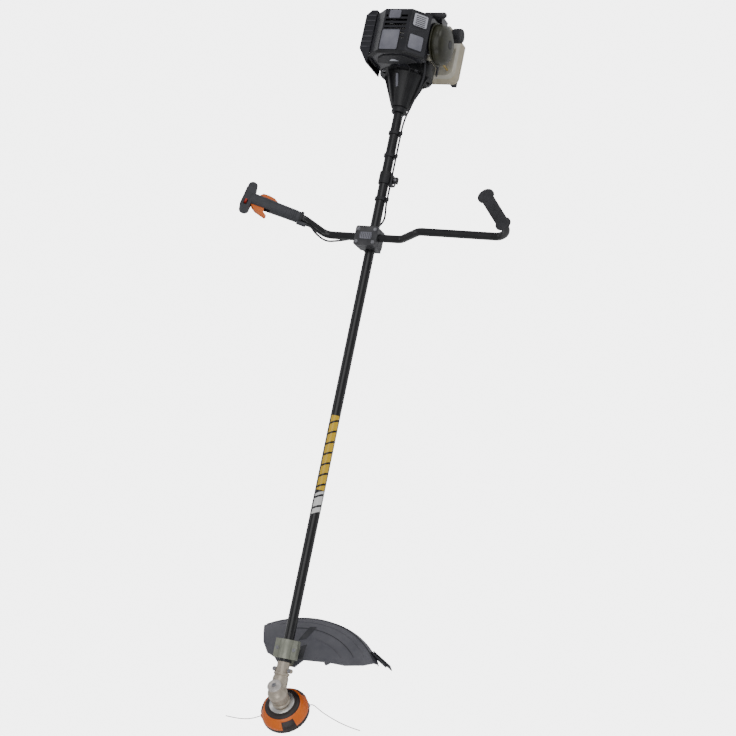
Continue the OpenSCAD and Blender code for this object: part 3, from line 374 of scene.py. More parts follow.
makeFinish(
    "bronze",
    {"base": rgb(0.50, 0.31, 0.12), "second": rgb(0.36, 0.21, 0.08), "rough": 0.36, "metal": 0.9},
)
makeFinish(
    "brassZinc",
    {"base": rgb(0.62, 0.46, 0.20), "second": rgb(0.48, 0.38, 0.22), "rough": 0.30, "metal": 0.9},
)
makeFinish(
    "orange", {"base": rgb(0.86, 0.17, 0.004), "second": rgb(0.76, 0.12, 0.002), "rough": 0.38,
    "coat": 0.15, "mottle": 22, "dust": 0.0},
)
makeFinish(
    "headDark", {"base": rgb(0.020, 0.012, 0.011), "second": rgb(0.040, 0.026, 0.024), "rough": 0.42},
)
makeFinish(
    "switchRed", {"base": rgb(0.52, 0.030, 0.015), "second": rgb(0.42, 0.022, 0.012), "rough": 0.38},
)
makeFinish(
    "tankCream", {"base": rgb(0.80, 0.76, 0.62), "second": rgb(0.86, 0.83, 0.73), "rough": 0.38,
    "mottle": 30, "more": clear}, paintFuel,
)
makeFinish(
    "bulbClear",
    {"base": rgb(0.70, 0.66, 0.52), "second": rgb(0.78, 0.75, 0.64), "rough": 0.30, "more": clear},
)
makeFinish(
    "hoseAmber",
    {"base": rgb(0.52, 0.38, 0.12), "second": rgb(0.60, 0.46, 0.18), "rough": 0.35, "more": clear},
)
makeFinish(
    "porcelain",
    {"base": rgb(0.78, 0.76, 0.70), "second": rgb(0.70, 0.68, 0.62), "rough": 0.2, "coat": 0.6},
)
makeFinish(
    "foam",
    {"base": rgb(0.20, 0.17, 0.12), "second": rgb(0.26, 0.22, 0.16), "rough": 0.9, "depth": 0.0010},
    paintCells,
)
makeFinish("pulleyWhite", {"base": rgb(0.62, 0.60, 0.54), "second": rgb(0.54, 0.52, 0.47), "rough": 0.45})
makeFinish(
    "ropeWhite",
    {"base": rgb(0.66, 0.64, 0.58), "second": rgb(0.58, 0.56, 0.50), "rough": 0.85, "depth": 0.0004},
    paintBraid,
)
makeFinish(
    "lineNylon",
    {"base": rgb(0.05, 0.03, 0.03), "second": rgb(0.30, 0.20, 0.20), "rough": 0.34, "mottle": 140},
)
print("finishes made:", len(finishes))

# The record's slot for each finish
slotOf = {
    "tubeBlack": "black_tube", "barBlack": "black_tube", "castBlack": "black_casting",
    "glossCover": "cover_plastic", "panelGrey": "cover_plastic", "panelDark": "cover_plastic",
    "panelPale": "cover_plastic", "carbGrey": "cast_metal", "gearLight": "head_metal",
    "moulded": "black_plastic", "handleGrey": "black_plastic", "clampGrey": "black_plastic",
    "oliveLid": "cover_plastic", "gripRubber": "grip_rubber", "guardGrey": "guard_plastic",
    "guardDark": "guard_plastic", "clampCream": "clamp_metal", "gearChampagne": "head_metal",
    "flangeSilver": "steel", "steel": "steel", "darkSteel": "dark_steel", "castAlloy": "cast_metal",
    "orange": "orange_plastic", "headDark": "black_plastic", "switchRed": "red_plastic",
    "tankCream": "tank_plastic", "bulbClear": "bulb_rubber", "lineNylon": "line_nylon",
    "ropeWhite": "rope_cord", "brassZinc": "brass_zinc", "hoseAmber": "hose_rubber",
}

# What every carried-over node wears; pieces further down take the place of many of them
nodeFinish = {
    "tubeBlack": ["shaft_tube"], "bronze": ["shaft_bushings"], "barBlack": ["left_bar", "right_bar"],
    "castBlack": ["clutch_housing", "fan_case", "strap_clamp"], "brassZinc": ["throttle_arm"],
    "castAlloy": ["crankcase", "cylinder", "carburettor", "flywheel", "piston"], "porcelain": [
        "spark_plug",
    ],
    "moulded": [
        "ignition_coil", "tank_stand", "cable_clips", "choke_lever", "fuel_cap", "bump_knob", "line_spool",
    ],
    "darkSteel": ["muffler", "line_cutter", "clutch_shoes", "clutch_drum"], "foam": ["filter_foam"],
    "glossCover": ["muffler_cover", "engine_cover", "starter_housing"], "oliveLid": [
        "filter_base", "filter_cover",
    ],
    "tankCream": ["fuel_tank"], "hoseAmber": ["fuel_hose"], "gearChampagne": ["gear_case"],
    "steel": [
        "bearings", "screws", "crankshaft", "connecting_rod", "drive_shaft", "bevel_pinion",
        "driven_gear", "head_spring",
    ],
    "guardGrey": ["guard"], "clampCream": ["guard_clamp"], "clampGrey": ["bar_bracket", "bar_cap"],
    "gripRubber": ["left_grip", "starter_handle", "throttle_cable"], "handleGrey": ["throttle_grip"],
    "flangeSilver": ["head_flange"], "orange": ["head_housing", "throttle_trigger", "lockout_lever"],
    "lineNylon": ["line_left", "line_right"], "switchRed": ["stop_switch"], "bulbClear": ["primer_bulb"],
    "pulleyWhite": ["starter_pulley"], "ropeWhite": ["starter_rope"],
}
for finishName, names in nodeFinish.items():
    for nodeName in names:
        nodes[nodeName].data.materials.clear()
        nodes[nodeName].data.materials.append(finishes[finishName])


# Camera and light
camera = {
    "place": apex + Vector((0.0377, 1.6786, 3.5046)), "back": (0.217, 0.409, 0.886), "up": (
        -0.956, -0.094, 0.277,
    ),
    "lens": 77.62,
}
cameraData = bpy.data.cameras.new("camera")
cameraData.lens = camera["lens"]
cameraData.sensor_width = 36
cameraData.clip_end = 60
cameraObject = bpy.data.objects.new("camera", cameraData)
backward = Vector(camera["back"]).normalized()
toRight = Vector(camera["up"]).cross(backward).normalized()
cameraTurn = Matrix((toRight, backward.cross(toRight), backward)).transposed().to_4x4()
cameraObject.matrix_world = Matrix.Translation(camera["place"]) @ cameraTurn
scene.collection.objects.link(cameraObject)
scene.camera = cameraObject

lights = [  # name, place, target, width, height, watts
    ("overhead", (0.7, 0.6, 3.2), (0.7, 0, 0), 3.4, 2.4, 30),
    ("window", (-1.9, 1.5, 1.7), (0.2, 0, 0.2), 1.6, 1.4, 16),
    ("strip", (0.9, -2.3, 1.5), (0.8, 0, 0.1), 2.6, 0.7, 5),
    ("front", (3.0, 0.9, 1.5), (1.5, 0, 0.1), 1.4, 1.0, 9),
]
for name, place, target, width, height, watts in lights:
    lamp = bpy.data.lights.new(name, "AREA")
    lamp.shape = "RECTANGLE"
    lamp.size = width
    lamp.size_y = height
    lamp.energy = watts
    lampObject = bpy.data.objects.new(name, lamp)
    aim = Vector(place) - Vector(target)
    lampObject.matrix_world = Matrix.Translation(place) @ aim.to_track_quat("Z", "Y").to_matrix().to_4x4()
    scene.collection.objects.link(lampObject)
world = bpy.data.worlds.new("studio")
world.use_nodes = True
sky = {"colour": rgb(0.95, 0.96, 1.0), "strength": 0.42}
background = world.node_tree.nodes["Background"]
background.inputs["Color"].default_value = sky["colour"]
background.inputs["Strength"].default_value = sky["strength"]
scene.world = world

backdropLook = {"reach": 14.0, "glow": 7.0, "seenShare": 0.7}
floorMesh = bpy.data.meshes.new("floor")
reach = backdropLook["reach"]
floorMesh.from_pydata(
    [(-reach, -reach, 0), (reach, -reach, 0), (reach, reach, 0), (-reach, reach, 0)], [], [(0, 1, 2, 3)],
)
floorFinish = bpy.data.materials.new("paleFloor")
floorFinish.use_nodes = True
floorFinish.node_tree.nodes.clear()
floorGraph = Graph(floorFinish.node_tree)
matt = floorGraph.put(
    "ShaderNodeBsdfPrincipled", {}, {"Base Color": rgb(0.96, 0.96, 0.96), "Roughness": 0.9},
)["BSDF"]
backdrop = floorGraph.put(
    "ShaderNodeEmission", {}, {"Color": rgb(1.0, 1.0, 1.0), "Strength": backdropLook["glow"]},
)[0]
# The camera sees a paper-white floor
seen = floorGraph.put("ShaderNodeLightPath")["Is Camera Ray"] * backdropLook["seenShare"]
floorMix = floorGraph.put("ShaderNodeMixShader", {}, {0: seen, 1: matt, 2: backdrop})[0]
floorGraph.put("ShaderNodeOutputMaterial", {}, {"Surface": floorMix})
floorMesh.materials.append(floorFinish)
floorObject = bpy.data.objects.new("floor", floorMesh)
scene.collection.objects.link(floorObject)
print("camera and light placed")


# Mesh helpers
def latheRings(place, profile, sides):
    turn = [2 * math.pi * k / sides for k in range(sides)]
    return [[place @ Vector((r * math.cos(a), r * math.sin(a), z)) for a in turn] for r, z in profile]


class Form:
    def __init__(self):
        self.mesh = bmesh.new()

    def rings(self, rings, capped=True):
        made = [[self.mesh.verts.new(point) for point in ring] for ring in rings]
        count = len(made[0])
        for lower, upper in zip(made, made[1:]):
            for i in range(count):
                j = (i + 1) % count
                self.mesh.faces.new((lower[i], lower[j], upper[j], upper[i]))
        if capped:
            self.mesh.faces.new(list(reversed(made[0])))
            self.mesh.faces.new(made[-1])
        return self

    def loop(self, rings):
        self.rings(list(rings) + [rings[0]], capped=False)
        bmesh.ops.remove_doubles(self.mesh, verts=self.mesh.verts, dist=1e-7)
        return self

    def lathe(self, place, profile, sides=64):
        return self.rings(latheRings(place, profile, sides))

    def hollow(self, place, profile, sides=64):
        return self.loop(latheRings(place, profile, sides))

    def slab(self, place, outline, low, high):
        return self.rings([[place @ Vector((x, y, z)) for x, y in outline] for z in (low, high)])

    def block(self, place, low, high):
        outline = [(low[0], low[1]), (high[0], low[1]), (high[0], high[1]), (low[0], high[1])]
        return self.slab(place, outline, low[2], high[2])

    def toMesh(self, name):
        bmesh.ops.recalc_face_normals(self.mesh, faces=self.mesh.faces)
        mesh = bpy.data.meshes.new(name)
        self.mesh.to_mesh(mesh)
        self.mesh.free()
        return mesh


def piece(name, form, finish, body="root", replaced=(), bevel=0.0, segments=2, smooth=35, angle=32):
    mesh = form.toMesh(name) if isinstance(form, Form) else form
    madePiece = bpy.data.objects.new(name, mesh)
    scene.collection.objects.link(madePiece)
    mesh.materials.clear()
    mesh.materials.append(finishes[finish])
    mesh.shade_smooth()
    mesh.set_sharp_from_angle(angle=math.radians(smooth))
    if bevel:
        edges = madePiece.modifiers.new("edges", "BEVEL")
        edges.width = bevel
        edges.segments = segments
        edges.limit_method = "ANGLE"
        edges.angle_limit = math.radians(angle)
        edges.harden_normals = True
    if body:
        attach(madePiece, body)
    if finish in slotOf:
        slotOf[finish]
    if replaced:
        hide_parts(*replaced)
    return madePiece


def softened(nodeName, finish, bevel, segments=2, smooth=35):
    copy = bmesh.new()
    copy.from_mesh(nodes[nodeName].data)
    bmesh.ops.remove_doubles(copy, verts=copy.verts, dist=2e-6)
    bmesh.ops.dissolve_limit(copy, angle_limit=math.radians(1.0), verts=copy.verts, edges=copy.edges)
    mesh = bpy.data.meshes.new(nodeName + "_soft")
    copy.to_mesh(mesh)
    copy.free()
    return piece(
        nodeName + "_soft", mesh, finish, nodes[nodeName]["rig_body"], (nodeName,), bevel, segments, smooth,
    )


def cornerRoute(corners, bend, steps=12):
    points = [Vector(corners[0])]
    for before, corner, after in zip(corners, corners[1:], corners[2:]):
        into = (Vector(corner) - Vector(before)).normalized()
        out = (Vector(after) - Vector(corner)).normalized()
        turn = into.angle(out)
        inward = (out - into * into.dot(out)).normalized()
        centre = Vector(corner) - into * bend * math.tan(turn / 2) + inward * bend
        for step in range(steps + 1):
            a = turn * step / steps
            points.append(centre + bend * (into * math.sin(a) - inward * math.cos(a)))
    points.append(Vector(corners[-1]))
    return points


def smoothRoute(points, spacing):
    knots = [Vector(point) for point in points]
    route = []
    for i in range(len(knots) - 1):
        a = knots[max(i - 1, 0)]
        b, c = knots[i], knots[i + 1]
        d = knots[min(i + 2, len(knots) - 1)]
        steps = max(1, round((c - b).length / spacing))
        for step in range(steps):
            t = step / steps
            squared, cubed = 2 * a - 5 * b + 4 * c - d, 3 * b - a - 3 * c + d
            route.append(0.5 * (2 * b + (c - a) * t + squared * t * t + cubed * t ** 3))
    route.append(knots[-1])
    return route


def sweep(form, route, section, twist=0.0):
    along = (route[1] - route[0]).normalized()
    side = along.cross(Vector((0, 0, 1)) if abs(along.z) < 0.9 else Vector((1, 0, 0))).normalized()
    rings = []
    travelled = 0.0
    for i, point in enumerate(route):
        ahead = (route[min(i + 1, len(route) - 1)] - route[max(i - 1, 0)]).normalized()
        side = (side - ahead * side.dot(ahead)).normalized()
        up = ahead.cross(side)
        if i:
            travelled += (point - route[i - 1]).length
        ca, sa = math.cos(twist * travelled), math.sin(twist * travelled)
        across = [(x * ca - y * sa, x * sa + y * ca) for x, y in section]
        rings.append([point + side * x + up * y for x, y in across])
    return form.rings(rings)


def circle(radius, sides, start=0.0):
    return [
        (radius * math.cos(start + 2 * math.pi * k / sides),
        radius * math.sin(start + 2 * math.pi * k / sides)) for k in range(sides)
    ]


def roundedOutline(x0, x1, y0, y1, radius, steps=6):
    corners = [
        (x1 - radius, y1 - radius, 0), (x0 + radius, y1 - radius, 90), (x0 + radius, y0 + radius, 180),
        (x1 - radius, y0 + radius, 270),
    ]
    outline = []
    for cx, cy, start in corners:
        for step in range(steps + 1):
            a = math.radians(start + 90 * step / steps)
            outline.append((cx + radius * math.cos(a), cy + radius * math.sin(a)))
    return outline


def barPoint(x, left, height):
    return barPlace @ Vector((x, left, height))


lean = math.radians(bar["throttleLean"])
throttleBase = (-0.118 - 0.042, 0.057)
throttlePlace = barPlace @ Matrix.Translation((0, *throttleBase)) @ Matrix.Rotation(lean, 4, "X")

# Geometry trees for what repeats; their sizes are in millimetres and each is scaled when it is placed
def growthTree(name, inputs, build):
    tree = bpy.data.node_groups.new(name, "GeometryNodeTree")
    tree.interface.new_socket("Geometry", in_out="INPUT", socket_type="NodeSocketGeometry")
    for label, (kind, value) in inputs.items():
        socket = tree.interface.new_socket(label, in_out="INPUT", socket_type="NodeSocket" + kind)
        socket.default_value = value
    tree.interface.new_socket("Finish", in_out="INPUT", socket_type="NodeSocketMaterial")
    tree.interface.new_socket("Geometry", in_out="OUTPUT", socket_type="NodeSocketGeometry")
    graph = Graph(tree)
    given = graph.put("NodeGroupInput")
    copies = build(graph, given)
    real = graph.put("GeometryNodeRealizeInstances", {}, {0: copies})[0]
    painted = graph.put("GeometryNodeSetMaterial", {}, {"Geometry": real, "Material": given["Finish"]})[0]
    graph.put("NodeGroupOutput", {}, {0: painted})
    return tree


def buildCrown(graph, given):
    circle = graph.put(
        "GeometryNodeMeshCircle", {}, {"Vertices": given["Count"], "Radius": given["Radius"]},
    )["Mesh"]
    index = graph.put("GeometryNodeInputIndex")[0]
    turn = index * (2 * math.pi) / given["Count"]
    size = graph.put(
        "ShaderNodeCombineXYZ", {}, {0: given["Depth"], 1: given["Width"], 2: given["Height"]},
    )[0]
    block = graph.put("GeometryNodeMeshCube", {}, {"Size": size})["Mesh"]
    spin = graph.put("ShaderNodeCombineXYZ", {}, {1: given["Lean"], 2: turn})[0]
    placed = {"Points": circle, "Instance": block, "Rotation": spin}
    return graph.put("GeometryNodeInstanceOnPoints", {}, placed)[0]


def buildRow(graph, given):
    step = graph.put("ShaderNodeCombineXYZ", {}, {0: given["Spacing"]})[0]
    line = graph.put("GeometryNodeMeshLine", {}, {"Count": given["Count"], "Offset": step})[0]
    size = graph.put(
        "ShaderNodeCombineXYZ", {}, {0: given["Width"], 1: given["Depth"], 2: given["Height"]},
    )[0]
    block = graph.put("GeometryNodeMeshCube", {}, {"Size": size})["Mesh"]
    return graph.put("GeometryNodeInstanceOnPoints", {}, {"Points": line, "Instance": block})[0]


def buildBeads(graph, given):
    step = graph.put("ShaderNodeCombineXYZ", {}, {2: given["Spacing"]})[0]
    line = graph.put("GeometryNodeMeshLine", {}, {"Count": given["Count"], "Offset": step})[0]
    path = graph.put(
        "GeometryNodeCurvePrimitiveCircle", {}, {"Resolution": 48, "Radius": given["Radius"]},
    )[0]
    section = graph.put(
        "GeometryNodeCurvePrimitiveCircle", {}, {"Resolution": 10, "Radius": given["Bead"]},
    )[0]
    bead = graph.put("GeometryNodeCurveToMesh", {}, {"Curve": path, "Profile Curve": section})[0]
    return graph.put("GeometryNodeInstanceOnPoints", {}, {"Points": line, "Instance": bead})[0]


def buildScrews(graph, given):
    drum = {"Vertices": 28, "Radius": given["Radius"], "Depth": given["Height"]}
    head = graph.put("GeometryNodeMeshCylinder", {}, drum)
    rim = graph.put(
        "GeometryNodeExtrudeMesh", {},
        {"Mesh": head["Mesh"], "Selection": head["Top"], "Offset Scale": 0.0},
    )
    inset = {"Geometry": rim["Mesh"], "Selection": rim["Top"], "Scale": given["Socket"]}
    pinched = graph.put("GeometryNodeScaleElements", {}, inset)[0]
    sunk = {"Mesh": pinched, "Selection": rim["Top"], "Offset Scale": given["Sink"]}
    socketed = graph.put("GeometryNodeExtrudeMesh", {}, sunk)["Mesh"]
    washer = graph.put(
        "GeometryNodeMeshCylinder", {}, {"Vertices": 28, "Radius": given["Washer"], "Depth": 0.8},
    )["Mesh"]
    under = given["Height"] * -0.5
    low = graph.put("ShaderNodeCombineXYZ", {}, {2: under})[0]
    lowered = graph.put("GeometryNodeTransform", {}, {"Geometry": washer, "Translation": low})[0]
    whole = graph.put("GeometryNodeJoinGeometry", {}, {0: socketed})
    graph.tree.links.new(lowered.socket, whole.node.inputs[0])
    chance = graph.put(
        "FunctionNodeRandomValue", {"data_type": "FLOAT"}, {2: 0.0, 3: 6.28, "Seed": given["Seed"]},
    )[1]
    spin = graph.put("ShaderNodeCombineXYZ", {}, {2: chance})[0]
    placed = {"Points": given["Geometry"], "Instance": whole[0], "Rotation": spin}
    return graph.put("GeometryNodeInstanceOnPoints", {}, placed)[0]


crownTree = growthTree("crown", {
    "Count": ("Int", 24), "Radius": ("Float", 20.0), "Depth": ("Float", 1.0), "Width": ("Float", 1.5),
    "Height": ("Float", 10.0), "Lean": ("Float", 0.0),
}, buildCrown)
rowTree = growthTree("row", {
    "Count": ("Int", 6), "Spacing": ("Float", 10.0), "Width": ("Float", 3.0), "Depth": ("Float", 2.0),
    "Height": ("Float", 20.0),
}, buildRow)
beadTree = growthTree("beads", {
    "Count": ("Int", 12), "Spacing": ("Float", 5.0), "Radius": ("Float", 15.0), "Bead": ("Float", 1.0),
}, buildBeads)
screwTree = growthTree("screws", {
    "Radius": ("Float", 3.5), "Height": ("Float", 3.2), "Socket": ("Float", 0.55), "Sink": (
        "Float", -1.8,
    ),
    "Washer": ("Float", 4.6), "Seed": ("Int", 7),
}, buildScrews)


def grow(tree, place, values, finish, points=()):
    seed = bpy.data.meshes.new("seed")
    seed.from_pydata([Vector(point) for point in points], [], [])
    host = bpy.data.objects.new("host", seed)
    scene.collection.objects.link(host)
    growth = host.modifiers.new("growth", "NODES")
    growth.node_group = tree
    chosen = {**values, "Finish": finishes[finish]}
    for item in tree.interface.items_tree:
        if item.in_out == "INPUT" and item.name in chosen:
            growth[item.identifier] = chosen[item.name]
    evaluated = host.evaluated_get(bpy.context.evaluated_depsgraph_get())
    grown = bpy.data.meshes.new_from_object(evaluated)
    host.modifiers.remove(growth)
    bpy.data.objects.remove(host)
    grown.transform(place)
    return grown


def growPiece(name, tree, place, values, finish, body="root", replaced=(), bevel=0.0, points=()):
    return piece(name, grow(tree, place, values, finish, points), finish, body, replaced, bevel)


def shift(place, x, y, z):
    return place @ Matrix.Translation((x, y, z))


# The same places as above, in millimetres
millimetre = 0.001
milli = Matrix.Scale(millimetre, 4)
engineMm = enginePlace @ milli
headMm = headPlace @ milli
shaftMm = shaftPlace @ milli
leftMm = leftPlace @ milli
throttleMm = throttlePlace @ milli
barMm = barPlace @ milli
reachMm = apex.x * 1000
print("growth trees made")


# Handlebar: both tubes, the clamp, the left grip
def barRoute(corners):
    return cornerRoute([barPoint(0, left, height) for left, height in corners], bar["bend"])


gripLean = math.radians(bar["gripLean"])
leftSize = {"reach": 0.394, "riseStart": 0.092, "riseEnd": 0.150, "endLength": 0.1511}
leftTip = (
    leftSize["reach"] - leftSize["endLength"] * math.sin(gripLean),
    bar["jog"] + leftSize["endLength"] * math.cos(gripLean),
)
leftCorners = [
    (0.006, 0), (leftSize["riseStart"], 0), (leftSize["riseEnd"], bar["jog"]),
    (leftSize["reach"], bar["jog"]), leftTip,
]
rightSize = {"reach": 0.118, "spread": 0.042, "rise": 0.057, "inside": 0.073}
rightBase = (-rightSize["reach"] - rightSize["spread"], rightSize["rise"])
rightTip = (
    rightBase[0] - rightSize["inside"] * math.sin(lean),
    rightBase[1] + rightSize["inside"] * math.cos(lean),
)
rightCorners = [(-0.006, 0), (-rightSize["reach"], 0), rightBase, rightTip]
for side, corners in (("left", leftCorners), ("right", rightCorners)):
    tube = sweep(Form(), barRoute(corners), circle(bar["radius"], 32))
    piece("bar_" + side, tube, "barBlack", "root", (side + "_bar",))

softened("bar_bracket", "clampGrey", 0.0014)
softened("bar_cap", "clampGrey", 0.0018, 3)
barCapPlace = shift(engineMm, barX * 1000, 0, bar["lift"] * 1000 + 16)
piece(
    "bar_cap_plate", Form().slab(barCapPlace, roundedOutline(-9, 9, -17, 17, 4), -0.2, 1.1), "panelGrey",
    bevel=0.0005,
)
growPiece(
    "bar_cap_ribs", rowTree, shift(barCapPlace, 0, -15, 0.3) @ Matrix.Rotation(math.radians(90), 4, "Z"),
    {"Count": 7, "Spacing": 5.0, "Width": 1.2, "Depth": 15.0, "Height": 2.4}, "clampGrey", bevel=0.0003,
)

grip = {"radius": 15.5, "length": 108, "lip": 4}
tipPoint = barPoint(0, *leftTip)
rootPoint = barPoint(0, leftTip[0] + 0.1 * math.sin(gripLean), leftTip[1] - 0.1 * math.cos(gripLean))
gripPlace = placeFrom(tipPoint, tipPoint - rootPoint, (1, 0, 0)) @ milli @ Matrix.Translation(
    (0, 0, grip["lip"]),
)
gripProfile = [
    (0.2, -107), (18.8, -107), (19.5, -106), (19.5, -102), (18, -100.5), (15.2, -98), (14.6, -60), (
        15.0, -24,
    ),
    (15.4, -12), (19.4, -8), (20.4, -6.5), (20.5, -2), (19.5, -0.3), (9, 0), (8, -0.8), (0.2, -0.9),
]
piece("grip_left", Form().lathe(gripPlace, gripProfile), "gripRubber", "root", ("left_grip",), smooth=50)
growPiece(
    "grip_left_ribs", beadTree, shift(gripPlace, 0, 0, -92),
    {"Count": 17, "Spacing": 4.6, "Radius": 14.6, "Bead": 1.0}, "gripRubber",
)
growPiece(
    "grip_left_flutes", crownTree, shift(gripPlace, 0, 0, -4.5),
    {"Count": 20, "Radius": 20.3, "Depth": 0.9, "Width": 2.6, "Height": 5.0}, "gripRubber", bevel=0.0003,
)
print("handlebar dressed")

# Throttle handle on the right tube: body, seam, ribbed back, levers
softened("throttle_grip", "handleGrey", 0.0022, 3, 40)
softened("throttle_trigger", "orange", 0.0011, 2)
softened("lockout_lever", "orange", 0.0011, 2)
softened("stop_switch", "switchRed", 0.0005)
handle = {"head": 154}
collarProfile = [(10.2, 6.2), (15.2, 6.2), (16.6, 7.5), (16.8, 12), (15.8, 13.2), (10.2, 13.2)]
piece("throttle_collar", Form().hollow(throttleMm, collarProfile, 48), "moulded")
growPiece(
    "throttle_ribs", beadTree, shift(throttleMm, 0.5, 0, 24),
    {"Count": 9, "Spacing": 5.0, "Radius": 15.5, "Bead": 0.9}, "handleGrey",
)
headPlate = throttleMm @ Matrix.Translation((-3, 0, handle["head"] + 12.6)) @ Matrix.Rotation(
    math.radians(0.9), 4, "Y",
)
piece(
    "throttle_plate", Form().slab(headPlate, roundedOutline(-26, 28, -8.5, 8.5, 5), -1.4, 0.9),
    "panelDark", bevel=0.0005,
)
growPiece(
    "throttle_slits", rowTree, shift(headPlate, -18, 0, 0.8),
    {"Count": 8, "Spacing": 5.4, "Width": 1.6, "Depth": 12.0, "Height": 1.2}, "moulded", bevel=0.0002,
)
handleSide = throttleMm @ Matrix.Rotation(math.radians(90), 4, "X")
sidePoints = [(2, 34, 15.2), (2, 66, 15.9), (24, handle["head"], 13.4), (-26, handle["head"], 13.0)]
growPiece(
    "throttle_screws", screwTree, handleSide, {"Radius": 2.6, "Washer": 3.1, "Height": 1.6, "Sink": -1.0},
    "darkSteel", points=sidePoints,
)
print("throttle handle dressed")

# Engine: the top cover with its lighter windows, a pale panel on its rear slope that is a painted
# reflection, and its front lip
softened("engine_cover", "glossCover", 0.0036, 3)
coverTop = 148
slope = math.atan2(38, 40)
slopePlace = engineMm @ Matrix.Translation((0, 50, coverTop)) @ Matrix.Rotation(-slope, 4, "X")
windows = [  # name, place, x0, x1, y0, y1, finish
    ("front", engineMm @ Matrix.Translation((0, 0, coverTop)), 0, 55, -22, 27, "panelGrey"),
    ("back", engineMm @ Matrix.Translation((0, 0, coverTop)), -55, -32, -12, 20, "panelGrey"),
    ("left", slopePlace, 8, 47, 6, 44, "panelGrey"),
    # The pale rear-left panel is a painted reflection of the glossy cover, framed like the windows
    ("rearLeft", slopePlace, -50, -16, 8, 46, "panelPale"),
]
for name, place, x0, x1, y0, y1, finish in windows:
    piece(
        "cover_window_" + name, Form().slab(place, roundedOutline(x0, x1, y0, y1, 4), -1.0, 0.7), finish,
        bevel=0.0006,
    )
    frameOuter = roundedOutline(x0 - 2.4, x1 + 2.4, y0 - 2.4, y1 + 2.4, 6)
    frameInner = roundedOutline(x0, x1, y0, y1, 4)
    rim = [[place @ Vector((x, y, z)) for x, y in line] for line, z in (
        (frameOuter, -0.8), (frameOuter, 1.5), (frameInner, 1.5), (frameInner, -0.8))]
    piece("cover_frame_" + name, Form().loop(rim), "glossCover", bevel=0.0005)
growPiece(
    "cover_louvres", rowTree, shift(slopePlace, -44, 27, 1.0),
    {"Count": 6, "Spacing": 5.0, "Width": 1.6, "Depth": 26.0, "Height": 1.6}, "glossCover", bevel=0.0003,
)
lip = [(-62, 66), (-62, 116), (-24, coverTop), (50, coverTop), (88, 111)]
lipRoute = cornerRoute([engineMm @ Vector((62, y, z)) for y, z in lip], 0.012, 6)
piece("cover_lip", sweep(Form(), lipRoute, [(x, y * 0.8) for x, y in circle(0.0052, 16)]), "castBlack")
shield = [
    (-44, 92), (-34, 118), (-14, 134), (12, 138), (40, 134), (60, 118), (68, 96), (40, 88), (-20, 88),
]
shieldPlace = engineMm @ Matrix(((0, 0, 1, 0), (1, 0, 0, 0), (0, 1, 0, 0), (0, 0, 0, 1)))
piece("cover_front", Form().slab(shieldPlace, shield, 58, 67.5), "moulded", bevel=0.0024, segments=3)
piece(
    "cover_badge",
    Form().slab(shift(shieldPlace, 8, 112, 67.2), [(-13, -5), (13, -5), (4, 5), (-4, 5)], 0, 0.9),
    "panelPale", bevel=0.0002,
)
print("engine cover dressed")

# Muffler side: ribbed cover, pale outlet shield on its front corner
softened("muffler_cover", "glossCover", 0.0030, 3)
growPiece(
    "muffler_ribs", rowTree, shift(engineMm, -59, -92.4, 75),
    {"Count": 7, "Spacing": 14.6, "Width": 4.2, "Depth": 3.0, "Height": 74.0}, "castBlack", bevel=0.0009,
)
growPiece(
    "muffler_top_ribs", rowTree, shift(engineMm, -54, -76, 118.2),
    {"Count": 7, "Spacing": 14.6, "Width": 4.2, "Depth": 26.0, "Height": 2.0}, "panelDark", bevel=0.0006,
)
cornerTurn = math.atan2(26, 40)
cornerFoot = engineMm @ Matrix.Translation((58, -79, 74)) @ Matrix.Rotation(cornerTurn, 4, "Z")
cornerPlace = cornerFoot @ Matrix.Rotation(math.radians(90), 4, "X")
piece(
    "outlet_shield", Form().slab(cornerPlace, roundedOutline(-17, 17, -36, 34, 5), -0.6, 1.6),
    "panelPale", bevel=0.0006,
)
growPiece(
    "outlet_slots", rowTree, shift(cornerPlace, -10, 0, 1.5),
    {"Count": 4, "Spacing": 6.6, "Width": 2.2, "Depth": 40.0, "Height": 1.2}, "darkSteel", bevel=0.0002,
)

# Clutch housing: the cast cone, a silver-edged window and the collar round the tube
softened("clutch_housing", "castBlack", 0.0014)
neckProfile = [(13.0, 148), (19.2, 148), (19.8, 149.4), (19.8, 163.6), (18.8, 165.2), (13.0, 165.2)]
piece("clutch_collar", Form().hollow(shaftMm, neckProfile), "moulded")
streakPlace = engineMm @ Matrix.Translation((88, -4, 43)) @ Matrix.Rotation(math.radians(27), 4, "Y")
streak = roundedOutline(-16, 26, -3.2, 3.2, 2.5)
piece("clutch_streak", Form().slab(streakPlace, streak, -3.0, 2.0), "panelGrey", bevel=0.0006)
growPiece(
    "clutch_knurl", crownTree, shift(shaftMm, 0, 0, 63.0),
    {"Count": 48, "Radius": 69.2, "Depth": 1.2, "Width": 3.0, "Height": 5.0}, "castBlack", bevel=0.0003,
)

